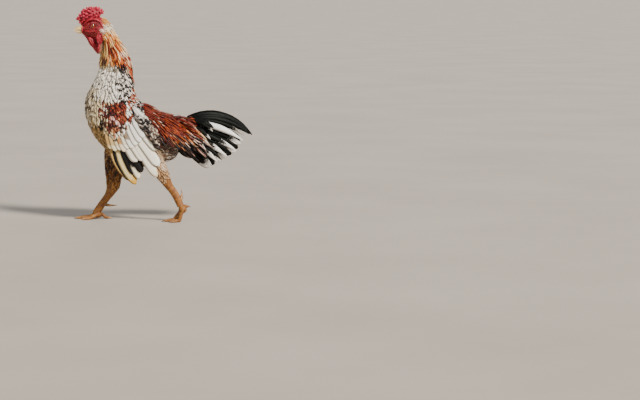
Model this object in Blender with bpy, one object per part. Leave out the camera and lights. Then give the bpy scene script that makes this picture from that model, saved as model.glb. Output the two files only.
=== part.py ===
"""A Vietnamese bantam cock at life size, in mid stride: the right leg forward, the left leg pushing off.

The bird faces -X, its right side is +Y and it stands on z = 0. Side outlines are (x, z) pairs in millimetres,
and every mesh is in metres. The origin is on the floor, under the middle of the bird's length.
"""

import math
import random

import bmesh
import bpy
from mathutils import Vector
from mathutils.bvhtree import BVHTree

MM = 0.001
GAP = 0.0003
SWELL = 0.00035
LEFT, RIGHT = -1, 1
SIDE_NAMES = {LEFT: "left", RIGHT: "right"}
Y = Vector((0, 1, 0))
Z = Vector((0, 0, 1))

# Colours of the finishes, as linear RGB, with roughness.
FINISHES = {
    "plumage_white": ((0.72, 0.68, 0.58), 0.7),
    "plumage_hackle": ((0.55, 0.21, 0.06), 0.55),
    "plumage_saddle": ((0.36, 0.07, 0.02), 0.55),
    "plumage_wing": ((0.66, 0.60, 0.48), 0.6),
    "plumage_tail": ((0.02, 0.02, 0.022), 0.4),
    "plumage_thigh": ((0.42, 0.34, 0.24), 0.75),
    "red_skin": ((0.55, 0.02, 0.025), 0.45),
    "horn": ((0.72, 0.52, 0.30), 0.35),
    "eye": ((0.25, 0.07, 0.02), 0.1),
    "leg_scale": ((0.55, 0.24, 0.05), 0.5),
    "claw_horn": ((0.30, 0.19, 0.09), 0.35),
}

# The trunk and neck, from the root of the tail to the nape. Each ring is an oval in five numbers:
# top x, top z, bottom x, bottom z and half width.
BODY_RINGS = [
    (43.4, 187.2, 33.0, 130.4, 11.5),
    (25.4, 189.9, 19.0, 109.0, 20.0),
    (5.6, 193.5, -12.0, 101.5, 29.0),
    (-14.2, 199.8, -43.0, 99.5, 34.0),
    (-32.2, 208.8, -73.6, 109.8, 36.5),
    (-43.0, 219.6, -98.8, 127.8, 36.0),
    (-47.5, 230.4, -117.7, 147.6, 34.0),
    (-49.3, 241.2, -130.3, 169.2, 31.0),
    (-48.8, 252.0, -137.5, 194.4, 28.0),
    (-48.1, 262.8, -136.6, 219.6, 25.0),
    (-48.4, 273.6, -127.6, 239.4, 22.5),
    (-51.1, 286.2, -118.6, 257.4, 20.5),
    (-56.5, 298.8, -111.5, 275.4, 18.5),
    (-64.6, 312.3, -109.5, 295.2, 16.6),
    (-74.5, 325.8, -108.7, 312.2, 15.2),
    (-80.5, 336.5, -107.4, 316.2, 14.0),
    (-87.4, 348.8, -107.2, 317.6, 13.9),
    (-92.4, 356.0, -107.6, 318.8, 14.1),
    (-97.4, 361.4, -108.0, 319.8, 14.3),
]
RUMP_END, NECK_SPLIT, NAPE_END = 0.0, 8.6, 18.0
# Where the hackles end, as places along the rings, for every 45 degrees from the back of the neck
# to its front. The solid core lies deeper than the outline under the hackles and the saddle.
CAPE_EDGE = [(6.9,), (9.3,), (11.1,), (12.3,), (13.0,)]
CAPE_DEPTH, SADDLE_DEPTH = 0.15, 0.05

# The head, from behind the ears to the root of the bill, in the same five numbers.
HEAD_RINGS = [
    (-98.0, 361.9, -108.6, 320.0, 14.3),
    (-105.0, 365.4, -115.4, 323.2, 14.4),
    (-111.4, 366.4, -122.2, 326.7, 13.8),
    (-120.4, 365.6, -128.5, 330.3, 12.6),
    (-129.4, 361.8, -133.9, 333.4, 10.2),
    (-136.0, 357.3, -137.2, 335.7, 7.8),
    (-139.4, 353.6, -139.8, 337.0, 6.4),
]
# The fold of bare skin from the chin down the throat.
THROAT_RINGS = [
    (-140.0, 337.2, -128.0, 340.0, 3.6),
    (-136.6, 332.0, -121.0, 336.0, 5.0),
    (-132.0, 325.5, -114.0, 330.0, 5.4),
    (-126.5, 317.4, -106.5, 322.0, 4.8),
    (-121.0, 308.8, -106.0, 311.5, 3.6),
    (-115.6, 301.7, -107.5, 303.0, 1.8),
]
EYE_AT = (-121.7, 350.5)
EYE_RADIUS, EYE_DEPTH = 4.8, 8.6
LID_RADIUS, LID_THICKNESS, LID_OUT = 4.9, 1.15, 2.9
EAR_AT, EAR_RADIUS = (-107.0, 341.6), 2.2

UPPER_BILL_RINGS = [
    (-139.9, 351.8, -140.2, 343.2, 6.1),
    (-145.0, 351.2, -144.0, 342.7, 5.2),
    (-150.5, 348.9, -148.5, 342.2, 3.8),
    (-154.8, 345.6, -152.5, 341.3, 2.3),
    (-157.1, 340.9, -156.0, 340.5, 0.8),
]
LOWER_BILL_RINGS = [
    (-140.2, 342.7, -140.3, 337.2, 5.4),
    (-144.0, 342.2, -144.2, 336.9, 4.6),
    (-148.5, 341.7, -148.3, 337.6, 3.2),
    (-152.4, 340.8, -152.0, 338.9, 1.6),
]
NOSTRIL_AT, NOSTRIL_OUT, NOSTRIL_SIZE = (-142.9, 347.4), 5.2, (1.7, 1.2, 0.9)

# The legs. Ring numbers are front x, front z, back x, back z and half width, down from inside the trunk.
STANCE_HIP, STANCE_HOCK, STANCE_FOOT = 19.0, 26.0, 29.0
THIGH_RINGS = {
    RIGHT: [
        (-100.6, 141.8, -46.6, 123.8, 15.5),
        (-104.9, 123.8, -59.2, 111.2, 15.0),
        (-105.3, 105.8, -67.3, 96.8, 13.5),
        (-104.2, 87.8, -73.3, 82.4, 11.5),
        (-102.4, 71.6, -75.8, 68.9, 9.4),
        (-101.7, 58.0, -79.0, 57.0, 7.8),
    ],
    LEFT: [
        (-68.2, 139.3, -17.8, 160.9, 15.0),
        (-52.0, 119.5, -8.8, 139.3, 14.5),
        (-35.8, 102.4, -2.5, 123.1, 12.5),
        (-22.3, 89.8, 3.8, 107.8, 10.6),
        (-11.5, 79.9, 9.2, 94.3, 9.0),
        (-4.7, 72.6, 12.4, 83.4, 7.6),
    ],
}
SHANK_RINGS = {
    RIGHT: [
        (-101.7, 57.6, -79.0, 56.6, 7.4),
        (-105.1, 46.4, -88.6, 43.7, 5.6),
        (-110.5, 38.3, -96.6, 34.7, 4.8),
        (-117.7, 28.4, -104.0, 24.8, 4.8),
        (-124.0, 19.4, -110.0, 15.8, 5.4),
        (-127.5, 13.1, -114.5, 9.0, 6.0),
    ],
    LEFT: [
        (-4.7, 72.1, 12.4, 82.9, 7.2),
        (3.8, 61.9, 16.8, 69.6, 5.6),
        (11.0, 53.6, 23.6, 58.6, 4.8),
        (17.3, 43.7, 30.4, 47.6, 4.8),
        (22.7, 32.9, 35.3, 35.7, 5.4),
        (25.8, 26.2, 38.2, 27.8, 6.0),
    ],
}
SCUTES_ON_SHANK, SCUTE_STEP = 8, 0.5
PAD_AT = {RIGHT: (-119.5, 8.2), LEFT: (35.0, 22.5)}
PAD_SIZE = {RIGHT: (9.5, 8.5, 6.6), LEFT: (7.2, 8.5, 7.6)}
PAD_LEAN, PAD_SOLE = {RIGHT: 0.0, LEFT: -62.0}, 1.8
SPUR_PATH = {
    RIGHT: ((-106.0, 26.5), (-96.0, 23.6), (-82.5, 25.4)),
    LEFT: ((31.5, 40.0), (35.5, 46.5), (33.0, 58.0)),
}
SPUR_RADIUS, SPUR_INWARD, SPUR_TAPER = 3.4, 5.0, (1.0, 0.85, 0.66, 0.42, 0.12)

# The toes: heading in degrees from straight ahead, where positive turns outwards, the reach of the
# toe past the pad and the reach of its claw.
TOES = {
    "inner": (-31.0, 19.5, 7.2),
    "middle": (-2.0, 27.0, 8.2),
    "outer": (27.0, 21.5, 7.2),
    "hind": (187.0, 12.0, 8.0),
}
TOE_RADIUS, TOE_END_RADIUS, SOLE_SINK = 3.7, 2.3, 0.55
TOE_SPREAD, TOE_KNUCKLES, TOE_STEPS = 4.6, 3, 12
# The left foot stands on the ends of its toes: where each bends to lie flat, and its raised hind toe
# as steps back and up from the pad.
LEFT_TOE_BENDS = {"inner": 20.0, "middle": 24.5, "outer": 28.5}
LEFT_TOE_BEND_HEIGHT, LEFT_TOE_SHORTER = 4.0, 7.0
LEFT_HIND_TOE, LEFT_HIND_CLAW = ((1.0, 4.0), (4.0, 5.5), (7.0, 5.5), (10.0, 4.5)), 4.8
CLAW_CURL, CLAW_DROP = 2.2, 3.5

# The comb: a cushion that carries rows of short fleshy points. Each is its tip's x and z, and its
# radius.
COMB_CROWN = [
    (-150.4, 364.5, 3.4), (-147.6, 372.6, 3.3), (-141.4, 380.0, 3.5), (-133.0, 384.4, 3.4),
    (-125.4, 385.0, 3.2), (-118.2, 383.4, 3.0), (-111.4, 384.9, 3.3), (-104.6, 382.0, 3.2),
]
COMB_FLANK = [
    (-149.0, 359.0, 3.2), (-144.0, 368.4, 3.4), (-136.6, 376.2, 3.5), (-127.6, 379.6, 3.4),
    (-118.4, 378.8, 3.2), (-109.4, 377.2, 3.0),
]
COMB_CENTRE, COMB_POINT_LENGTH, COMB_FLANK_OUT = (-122.0, 355.0), 9.5, 8.8
COMB_BODY_RINGS = [
    (-148.6, 364.0, -142.0, 350.5, 3.6),
    (-143.4, 373.6, -134.5, 354.5, 7.2),
    (-133.0, 380.6, -126.5, 358.0, 8.8),
    (-121.0, 382.0, -118.0, 361.5, 8.6),
    (-109.4, 381.0, -110.5, 364.5, 6.8),
    (-104.6, 379.0, -107.5, 370.5, 3.4),
]
LOBE_AT, LOBE_SIZE = (-110.0, 329.4), (5.4, 2.5, 10.6)
LOBE_OUT, LOBE_LEAN = 13.2, 4.0
WATTLE_AT, WATTLE_SIZE = (-124.0, 321.0), (5.6, 1.8, 11.5)
WATTLE_OUT, WATTLE_LEAN = 6.9, 33.0

# Feather outlines: width share at stations along the vane, from root to tip.
HACKLE_OUTLINE = ((0.0, 0.55), (0.35, 1.0), (0.7, 0.75), (1.0, 0.14))
FLIGHT_OUTLINE = ((0.0, 0.4), (0.3, 0.85), (0.68, 1.0), (0.9, 0.84), (1.0, 0.36))
COVERT_OUTLINE = ((0.0, 0.6), (0.45, 1.0), (0.82, 0.85), (1.0, 0.35))
SICKLE_OUTLINE = ((0.0, 0.45), (0.2, 0.8), (0.42, 1.0), (0.66, 0.95), (0.86, 0.6), (1.0, 0.1))
VANE_THICKNESS = 0.0006

HACKLE_COLUMNS = (0, 29, -29, 58, -58, 88, -88, 119, -119, 150, -150)
HACKLE_SPACING, HACKLE_REACH, HACKLE_FILL = 1.4, 2.8, 0.88
HACKLE_SINK, HACKLE_RISE = 1.3, 4.4
SADDLE_LENGTHS, SADDLES_IN_TIER, SADDLE_WIDTH = (0.046, 0.046, 0.052, 0.062), 4, 0.0096
SADDLE_FIRST, SADDLE_SPACING, SADDLE_SPREAD, SADDLE_RISE = 3.9, 0.85, 72, 5.6
SADDLE_DROP, SADDLE_SAG = (14, 46), 0.006

WING_MIDDLE, WING_OUT, WING_CURVE = (-58.0, 160.0), 37.4, 0.0008
WING_CORE_AT, WING_CORE_SIZE, WING_CORE_LEAN = (-74.0, 173.0), (20.0, 11.5, 34.0), -32.0
WING_ROOT_SINK = 3.2
# The tiers of a wing: layer height, slope across the feather, outline, and its feathers from the
# front to the rear as root, bend and tip in the side view, and width.
WING_TIERS = {
    "primary": (0.4, 0.21, FLIGHT_OUTLINE, (
        ((-92.0, 147.0), (-92.0, 108.0), (-59.0, 76.0), 9.0),
        ((-87.0, 148.0), (-87.0, 106.0), (-53.0, 73.0), 9.5),
        ((-82.0, 150.0), (-78.0, 104.0), (-47.5, 69.0), 12.5),
        ((-77.0, 152.0), (-66.0, 116.0), (-50.0, 87.0), 13.5),
        ((-72.0, 153.0), (-56.0, 112.0), (-42.0, 79.0), 12.0),
        ((-68.0, 154.0), (-50.0, 116.0), (-36.5, 91.0), 13.5),
    )),
    "secondary": (2.9, 0.13, FLIGHT_OUTLINE, (
        ((-74.0, 166.0), (-63.0, 136.0), (-45.5, 110.0), 17.0),
        ((-68.0, 168.0), (-52.0, 138.0), (-34.0, 112.0), 16.0),
        ((-62.0, 170.0), (-38.0, 126.0), (-10.0, 82.0), 15.5),
        ((-57.0, 175.0), (-34.0, 141.0), (-6.5, 101.5), 18.0),
        ((-54.0, 183.0), (-32.0, 158.0), (-9.0, 130.0), 16.5),
        ((-50.0, 190.0), (-26.0, 172.0), (-5.5, 135.0), 13.5),
    )),
    "greater_covert": (4.7, 0.13, COVERT_OUTLINE, (
        ((-98.0, 166.0), (-95.0, 148.0), (-88.0, 131.0), 13.5),
        ((-90.0, 167.0), (-86.0, 148.0), (-77.0, 129.0), 14.0),
        ((-81.0, 170.0), (-76.0, 150.0), (-66.0, 130.0), 14.5),
        ((-72.0, 174.0), (-66.0, 154.0), (-55.0, 134.0), 14.5),
        ((-63.0, 180.0), (-56.0, 160.0), (-44.0, 141.0), 14.0),
        ((-55.0, 187.0), (-46.0, 168.0), (-33.0, 151.0), 13.0),
    )),
    "median_covert": (6.2, 0.13, COVERT_OUTLINE, (
        ((-103.0, 182.0), (-101.0, 164.0), (-95.0, 149.0), 14.0),
        ((-93.0, 184.0), (-90.0, 164.0), (-82.0, 147.0), 15.0),
        ((-82.0, 188.0), (-78.0, 168.0), (-70.0, 150.0), 15.0),
        ((-70.0, 193.0), (-66.0, 175.0), (-57.0, 158.0), 15.0),
        ((-60.0, 200.0), (-54.0, 184.0), (-45.0, 168.0), 14.0),
    )),
    "lesser_covert": (7.6, 0.13, COVERT_OUTLINE, (
        ((-104.0, 197.0), (-102.0, 182.0), (-96.0, 168.0), 15.0),
        ((-92.0, 203.0), (-89.0, 186.0), (-82.0, 170.0), 16.0),
        ((-79.0, 207.0), (-75.0, 191.0), (-68.0, 176.0), 16.0),
        ((-67.0, 210.0), (-62.0, 196.0), (-55.0, 184.0), 15.0),
    )),
}

TAIL_CORE_RINGS = [
    (43.8, 186.9, 29.4, 140.6, 11.0),
    (50.0, 186.0, 40.0, 147.0, 9.0),
    (58.0, 183.0, 50.0, 154.0, 6.0),
    (64.0, 178.0, 59.0, 162.0, 3.0),
]
# The tail's stiff quills fan out between these lines in the side view, and apart from each other.
RECTRICES = 5
RECTRIX_ROOTS = ((48.0, 174.0), (40.0, 154.0), (35.0, 140.0))
RECTRIX_BENDS = ((95.0, 172.0), (78.0, 146.0), (56.0, 120.0))
RECTRIX_TIPS = ((140.0, 144.0), (133.0, 125.0), (112.0, 113.0), (85.0, 97.0))
RECTRIX_WIDTH, RECTRIX_OUT, RECTRIX_STEP, RECTRIX_SPREAD = 17.5, 1.4, 1.1, 0.9
# Sickles: root, bend and tip in the side view, width, distance from the middle at the root and at
# the tip.
SICKLES = [
    ((45.0, 186.0), (112.0, 208.0), (161.8, 154.1), 15.0, 1.0, 5.0),
    ((46.0, 180.0), (110.0, 196.0), (156.0, 156.0), 13.0, 3.0, 9.0),
    ((46.0, 175.0), (97.0, 180.0), (144.5, 145.0), 11.0, 12.2, 16.0),
    ((44.0, 169.0), (92.0, 170.0), (141.0, 138.5), 11.5, 12.8, 18.0),
    ((42.0, 164.0), (86.0, 160.0), (133.0, 126.5), 11.5, 13.4, 19.5),
    ((40.0, 158.0), (76.0, 151.0), (116.0, 116.0), 11.0, 14.0, 21.0),
    ((38.0, 152.0), (68.0, 142.0), (99.0, 106.0), 10.5, 14.6, 21.5),
]
SICKLE_ROOT_OUT, SICKLE_SPREAD_BY = 7.5, 1.6


def clear_scene():
    for old in list(bpy.data.objects):
        bpy.data.objects.remove(old, do_unlink=True)
    for old in list(bpy.data.collections):
        bpy.data.collections.remove(old)


def finish(name):
    """The finish of one kind of surface."""
    colour, roughness = FINISHES[name]
    material = bpy.data.materials.get(name) or bpy.data.materials.new(name)
    material.use_nodes = True
    shader = material.node_tree.nodes["Principled BSDF"]
    shader.inputs["Base Color"].default_value = (*colour, 1)
    shader.inputs["Roughness"].default_value = roughness
    material.diffuse_color = (*colour, 1)
    return material


def put_in(collection, name, points, faces):
    """A closed mesh from points in metres, with its faces turned outwards."""
    mesh = bpy.data.meshes.new(name)
    mesh.from_pydata([tuple(p) for p in points], [], faces)
    work = bmesh.new()
    work.from_mesh(mesh)
    bmesh.ops.remove_doubles(work, verts=work.verts, dist=1e-6)
    bmesh.ops.recalc_face_normals(work, faces=work.faces)
    work.to_mesh(mesh)
    work.free()
    obj = bpy.data.objects.new(name, mesh)
    collection.objects.link(obj)
    return obj


def spline(keys, place):
    """The row of numbers at a place along the keys, on a Catmull-Rom curve that keeps each key."""
    place = min(max(place, 0.0), len(keys) - 1.0)
    i = min(int(place), len(keys) - 2)
    t = place - i
    k = [keys[min(max(j, 0), len(keys) - 1)] for j in (i - 1, i, i + 1, i + 2)]
    return [
        0.5 * (2 * b + (c - a) * t + (2 * a - 5 * b + 4 * c - d) * t * t + (3 * b - a - 3 * c + d) * t ** 3)
        for a, b, c, d in zip(*k)
    ]


def on_ring(ring, angle, share=1.0, middle=0.0):
    """The point of an oval ring at an angle from its top, where 90 degrees is the right side."""
    top_x, top_z, low_x, low_z, half = ring
    lift = math.cos(math.radians(angle)) * share
    out = math.sin(math.radians(angle)) * share
    x = (top_x + low_x) / 2 + (top_x - low_x) / 2 * lift
    z = (top_z + low_z) / 2 + (top_z - low_z) / 2 * lift
    return Vector((x, middle + half * out, z)) * MM


def loft(collection, name, rings, sides, middles=None):
    """A closed skin over oval rings, with a point in the middle of each end."""
    points = []
    for ring, middle in zip(rings, middles or [0.0] * len(rings)):
        points += [on_ring(ring, 360 * k / sides, 1.0, middle) for k in range(sides)]
    return put_in(collection, name, *capped(points, len(rings), sides))


def capped(points, count, sides):
    """Faces for rings of points in order, and the points with the middle of each end ring added."""
    faces = []
    for i in range(count - 1):
        for k in range(sides):
            a, b = i * sides + k, i * sides + (k + 1) % sides
            faces.append((a, b, b + sides, a + sides))
    points = list(points)
    for start in (0, (count - 1) * sides):
        middle = sum(points[start:start + sides], Vector()) / sides
        points.append(middle)
        for k in range(sides):
            faces.append((start + k, start + (k + 1) % sides, len(points) - 1))
    return points, faces


def ellipsoid(collection, name, centre, size, lean=0.0, rings=6, sides=10):
    """A ball stretched to half sizes in millimetres, leaned in the side view by degrees."""
    obj = put_in(collection, name, [], [])
    work = bmesh.new()
    bmesh.ops.create_uvsphere(work, u_segments=sides, v_segments=rings, radius=1.0)
    turn = math.radians(lean)
    for vertex in work.verts:
        x, y, z = (c * s * MM for c, s in zip(vertex.co, size))
        vertex.co = (x * math.cos(turn) - z * math.sin(turn), y, x * math.sin(turn) + z * math.cos(turn))
        vertex.co += Vector(centre) * MM
    work.to_mesh(obj.data)
    work.free()
    return obj


def tube(collection, name, path, radii, sides, floor=None):
    """A round tube along points in metres. A floor flattens whatever reaches under it."""
    points = []
    for i, (centre, radius) in enumerate(zip(path, radii)):
        ahead = path[min(i + 1, len(path) - 1)] - path[max(i - 1, 0)]
        across = ahead.cross(Z) if abs(ahead.normalized().z) < 0.98 else ahead.cross(Y)
        across.normalize()
        up = across.cross(ahead).normalized()
        for k in range(sides):
            turn = 2 * math.pi * k / sides
            p = centre + (across * math.cos(turn) + up * math.sin(turn)) * radius
            if floor is not None:
                p.z = max(p.z, floor)
            points.append(p)
    return put_in(collection, name, *capped(points, len(path), sides))


def blade(collection, name, sections):
    """A thin vane from its cross sections: the upper points from left to right, then the lower ones back.

    Both faces are split into triangles alike, so that they stay apart where the vane bends.
    """
    across = len(sections[0]) // 2
    ring = 2 * across
    points = [p for section in sections for p in section]
    faces = []
    for i in range(len(sections) - 1):
        here, there = i * ring, (i + 1) * ring
        for k in range(across - 1):
            faces += [(here + k, here + k + 1, there + k + 1), (here + k, there + k + 1, there + k)]
            a, b = ring - 1 - k, ring - 2 - k
            faces += [(here + a, there + b, here + b), (here + a, there + a, there + b)]
        for a, b in ((across - 1, across), (ring - 1, 0)):
            faces += [(here + a, here + b, there + b), (here + a, there + b, there + a)]
    for start in (0, (len(sections) - 1) * ring):
        faces += [
            face
            for k in range(across - 1)
            for face in ((start + k, start + k + 1, start + ring - 2 - k),
                         (start + k, start + ring - 2 - k, start + ring - 1 - k))
        ]
    return put_in(collection, name, points, faces)


def bezier(a, b, c, t):
    """The point at t on the arc from a to c that leans towards b, in any number of dimensions."""
    return [(1 - t) ** 2 * p + 2 * t * (1 - t) * q + t * t * r for p, q, r in zip(a, b, c)]


def along(line, t):
    """The point at t, from 0 to 1, on a smooth line through a few points."""
    return spline(line, t * (len(line) - 1))


def sheet_vane(collection, name, line, width, outline, place):
    """A feather that lies in a sheet, along the line through its root, bend and tip in the side view.

    place(x, z, q, t) gives the 3-D point at x and z, q millimetres across the feather and t along it.
    """
    half_thick = VANE_THICKNESS / 2
    sections = []
    for t, share in outline:
        x, z = bezier(*line, t)
        before, after = bezier(*line, t - 0.02), bezier(*line, min(t + 0.02, 1.0))
        ahead_x, ahead_z = after[0] - before[0], after[1] - before[1]
        size = math.hypot(ahead_x, ahead_z)
        side_x, side_z = -ahead_z / size, ahead_x / size
        upper, lower = [], []
        for q in (-share * width / 2, share * width / 2):
            out, normal = place(x + side_x * q, z + side_z * q, q, t)
            upper.append(out + normal * half_thick)
            lower.append(out - normal * half_thick)
        sections.append(upper + lower[::-1])
    return blade(collection, name, sections)


def fuse(obj, pieces, cutters=()):
    """Joins the pieces to obj, cuts it clear of the cutters, and keeps its largest closed surface."""
    if pieces is not None and len(pieces.objects):
        boolean(obj, "UNION", collection=pieces)
        for piece in list(pieces.objects):
            bpy.data.objects.remove(piece, do_unlink=True)
    for cutter in cutters:
        boolean(obj, "DIFFERENCE", cutter=cutter)
        bpy.data.objects.remove(cutter, do_unlink=True)
    keep_largest(obj)
    return obj


def boolean(obj, operation, collection=None, cutter=None):
    modifier = obj.modifiers.new(operation.lower(), "BOOLEAN")
    modifier.operation = operation
    modifier.solver = "MANIFOLD"
    if collection:
        modifier.operand_type = "COLLECTION"
        modifier.collection = collection
    else:
        modifier.object = cutter
    bpy.context.view_layer.update()
    graph = bpy.context.evaluated_depsgraph_get()
    made = bpy.data.meshes.new_from_object(obj.evaluated_get(graph))
    obj.modifiers.clear()
    old = obj.data
    obj.data = made
    bpy.data.meshes.remove(old)


def keep_largest(obj):
    """Splits the faces into triangles and keeps the biggest closed surface."""
    work = bmesh.new()
    work.from_mesh(obj.data)
    bmesh.ops.triangulate(work, faces=work.faces)
    left = set(work.faces)
    bodies = []
    while left:
        start = left.pop()
        body, rim = [start], [start]
        while rim:
            for edge in rim.pop().edges:
                if len(edge.link_faces) != 2:
                    continue
                for face in edge.link_faces:
                    if face in left:
                        left.discard(face)
                        body.append(face)
                        rim.append(face)
        bodies.append(body)
    bodies.sort(key=len)
    for body in bodies[:-1]:
        bmesh.ops.delete(work, geom=body, context="FACES")
    work.to_mesh(obj.data)
    work.free()


def swollen(obj, swell=SWELL):
    """A copy of obj grown by the gap that touching nodes keep, to cut a neighbour with."""
    work = bmesh.new()
    work.from_mesh(obj.data)
    work.normal_update()
    moves = [(v, v.normal * min(v.calc_shell_factor(), 2.0)) for v in work.verts]
    for vertex, move in moves:
        vertex.co += move * swell
    mesh = bpy.data.meshes.new(obj.name + "_grown")
    work.to_mesh(mesh)
    work.free()
    copy = bpy.data.objects.new(mesh.name, mesh)
    copy.hide_render = True
    copy.display_type = "WIRE"
    CUTTERS.objects.link(copy)
    return copy


def node(obj, finish_name):
    """Marks obj as one of the bird's named pieces."""
    obj.data.materials.clear()
    obj.data.materials.append(finish(finish_name))
    obj.data.shade_smooth()
    obj.data.set_sharp_from_angle(angle=math.radians(35))
    return obj


def surface_of(obj):
    work = bmesh.new()
    work.from_mesh(obj.data)
    tree = BVHTree.FromBMesh(work)
    work.free()
    return tree


def cape_edge(angle):
    """Where the hackles end at an angle round the neck, as a place along the rings."""
    return spline(CAPE_EDGE, abs(angle) / 45)[0]


def core_share(place, angle):
    """How far the trunk and neck's solid core reaches towards the outline, which the long feathers make."""
    angle = (angle + 180) % 360 - 180
    over_cape = min(max((place - cape_edge(angle)) / 1.8, 0.0), 1.0)
    under_nape = min(max((NAPE_END - place) / 1.8, 0.0), 1.0)
    over_rump = min(max((4.0 - place) / 1.5, 0.0), 1.0)
    return 1.0 - CAPE_DEPTH * over_cape * under_nape - SADDLE_DEPTH * over_rump


def trunk_point(place, angle, lift=0.0):
    """The point of the trunk and neck's core at a place and an angle, lifted off it by millimetres."""
    ring = spline(BODY_RINGS, place)
    point = on_ring(ring, angle, core_share(place, angle))
    outward = (point - on_ring(ring, 0, 0.0)).normalized()
    return point + outward * (lift * MM)


def trunk_loft(name, first, last, steps, sides):
    points = [
        trunk_point(first + (last - first) * i / steps, 360 * k / sides)
        for i in range(steps + 1) for k in range(sides)
    ]
    return put_in(BIRD, name, *capped(points, steps + 1, sides))


def hackle_vanes(pieces):
    """The neck's pointed hackles, in columns round it, each over the next one down and rooted in the core."""
    for column, angle in enumerate(HACKLE_COLUMNS):
        start = cape_edge(angle) + HACKLE_REACH * random.uniform(0.94, 1.0)
        start += HACKLE_SPACING / 2 * (column % 2)
        while start < NAPE_END - 0.55:
            reach = HACKLE_REACH * random.uniform(0.95, 1.05)
            shaft = [(trunk_point(start - reach * t, angle, HACKLE_RISE * t - HACKLE_SINK), share)
                     for t, share in HACKLE_OUTLINE]
            centre = [on_ring(spline(BODY_RINGS, start - reach * t), 0, 0.0) for t, _ in HACKLE_OUTLINE]
            size = (shaft[1][0] - centre[1]).length
            width = 2 * size * math.sin(math.radians(HACKLE_COLUMNS[1] / 2)) * HACKLE_FILL
            follow(pieces, f"hackle_{column}", shaft, [p - c for (p, _), c in zip(shaft, centre)], width)
            start += HACKLE_SPACING


def follow(pieces, name, shaft, outwards, width):
    """A vane along a shaft of (point, width share), flat across the outward direction at each point."""
    sections = []
    for i, ((point, share), outward) in enumerate(zip(shaft, outwards)):
        ahead = shaft[min(i + 1, len(shaft) - 1)][0] - shaft[max(i - 1, 0)][0]
        side = ahead.cross(outward).normalized()
        half = side * (width * share / 2)
        thick = side.cross(ahead).normalized() * (VANE_THICKNESS / 2)
        left, right = point - half, point + half
        sections.append([left + thick, right + thick, right - thick, left - thick])
    return blade(pieces, name, sections)


def saddle_vanes(pieces, trunk):
    """The long pointed feathers that fall from the rump over the roots of the tail and of the wings."""
    tree = surface_of(trunk)
    for side in (LEFT, RIGHT):
        for tier, whole in enumerate(SADDLE_LENGTHS):
            for k in range(SADDLES_IN_TIER):
                across = (k + 0.5 * (tier % 2)) / SADDLES_IN_TIER
                angle = side * (9 + SADDLE_SPREAD * across)
                root = trunk_point(SADDLE_FIRST - tier * SADDLE_SPACING, angle, -1.2)
                drop = math.radians(SADDLE_DROP[0] + (SADDLE_DROP[1] - SADDLE_DROP[0]) * across)
                heading = Vector((math.cos(drop), side * 0.06, -math.sin(drop)))
                length = whole * random.uniform(0.9, 1.08) * (0.85 + 0.2 * across)
                shaft, normals = [], []
                for t, share in HACKLE_OUTLINE:
                    point = root + heading * (length * t) - Z * (SADDLE_SAG * t * t)
                    near, normal, _, _ = tree.find_nearest(point)
                    lift = (SADDLE_RISE * t - 1.2) * MM
                    if t > 0 and (point - near).dot(normal) < lift:
                        point = near + normal * lift
                    shaft.append((point, share))
                    normals.append(normal)
                follow(pieces, f"saddle_{side}_{tier}_{k}", shaft, normals, SADDLE_WIDTH)


def build_trunk():
    torso = trunk_loft("torso", RUMP_END, NECK_SPLIT, 14, 18)
    pieces = new_workshop("saddle_feathers")
    saddle_vanes(pieces, torso)
    fuse(torso, pieces)
    neck = trunk_loft("neck", NECK_SPLIT + 0.02, NAPE_END, 11, 14)
    pieces = new_workshop("hackle_feathers")
    hackle_vanes(pieces)
    fuse(neck, pieces, [swollen(torso)])
    return node(torso, "plumage_white"), node(neck, "plumage_hackle")


def new_workshop(name):
    """A collection for pieces that wait to be joined to their node."""
    pieces = bpy.data.collections.new(name)
    WORKSHOP.children.link(pieces)
    return pieces


def wing_sheet(side, layer, slope):
    """Where a wing's feathers lie: on a shallow dome beside the trunk, each sloping over the next."""

    def place(x, z, q, t):
        away = (x - WING_MIDDLE[0]) ** 2 + (z - WING_MIDDLE[1]) ** 2
        out = WING_OUT - WING_CURVE * away + layer - slope * q
        sink = WING_ROOT_SINK * max(0.0, 1 - t / 0.3)
        return Vector((x, side * (out - sink), z)) * MM, Y * side

    return place


def build_wing(side, cutters):
    word = SIDE_NAMES[side]
    middle = (WING_CORE_AT[0], side * (WING_OUT - 2.0), WING_CORE_AT[1])
    core = ellipsoid(BIRD, f"wing_{word}", middle, WING_CORE_SIZE, WING_CORE_LEAN, 8, 12)
    pieces = new_workshop(f"wing_feathers_{word}")
    for tier, (layer, slope, outline, feathers) in WING_TIERS.items():
        for k, (*line, width) in enumerate(feathers):
            sheet_vane(pieces, f"{tier}_{k}", line, width, outline, wing_sheet(side, layer, slope))
    fuse(core, pieces, [swollen(c) for c in cutters])
    return node(core, "plumage_wing")


def build_tail(torso):
    core = loft(BIRD, "tail", TAIL_CORE_RINGS, 14)
    pieces = new_workshop("tail_feathers")
    for side in (LEFT, RIGHT):
        for k in range(RECTRICES):
            f = k / (RECTRICES - 1)

            def flat(x, z, q, t, k=k):
                out = RECTRIX_OUT + (RECTRIX_STEP + RECTRIX_SPREAD * t) * k
                return Vector((x, side * out, z)) * MM, Y * side

            line = [along(keys, f) for keys in (RECTRIX_ROOTS, RECTRIX_BENDS, RECTRIX_TIPS)]
            sheet_vane(pieces, f"rectrix_{side}_{k}", line, RECTRIX_WIDTH, FLIGHT_OUTLINE, flat)
        for k, (*line, width, near, far) in enumerate(SICKLES):

            def arched(x, z, q, t, near=near, far=far):
                start = min(near, SICKLE_ROOT_OUT)
                out = start + (far - start) * min(t * SICKLE_SPREAD_BY, 1.0)
                return Vector((x, side * out, z)) * MM, Y * side

            sheet_vane(pieces, f"sickle_{side}_{k}", line, width, SICKLE_OUTLINE, arched)
    fuse(core, pieces, [swollen(torso), swollen(torso, 0.0)])
    return node(core, "plumage_tail")


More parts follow.
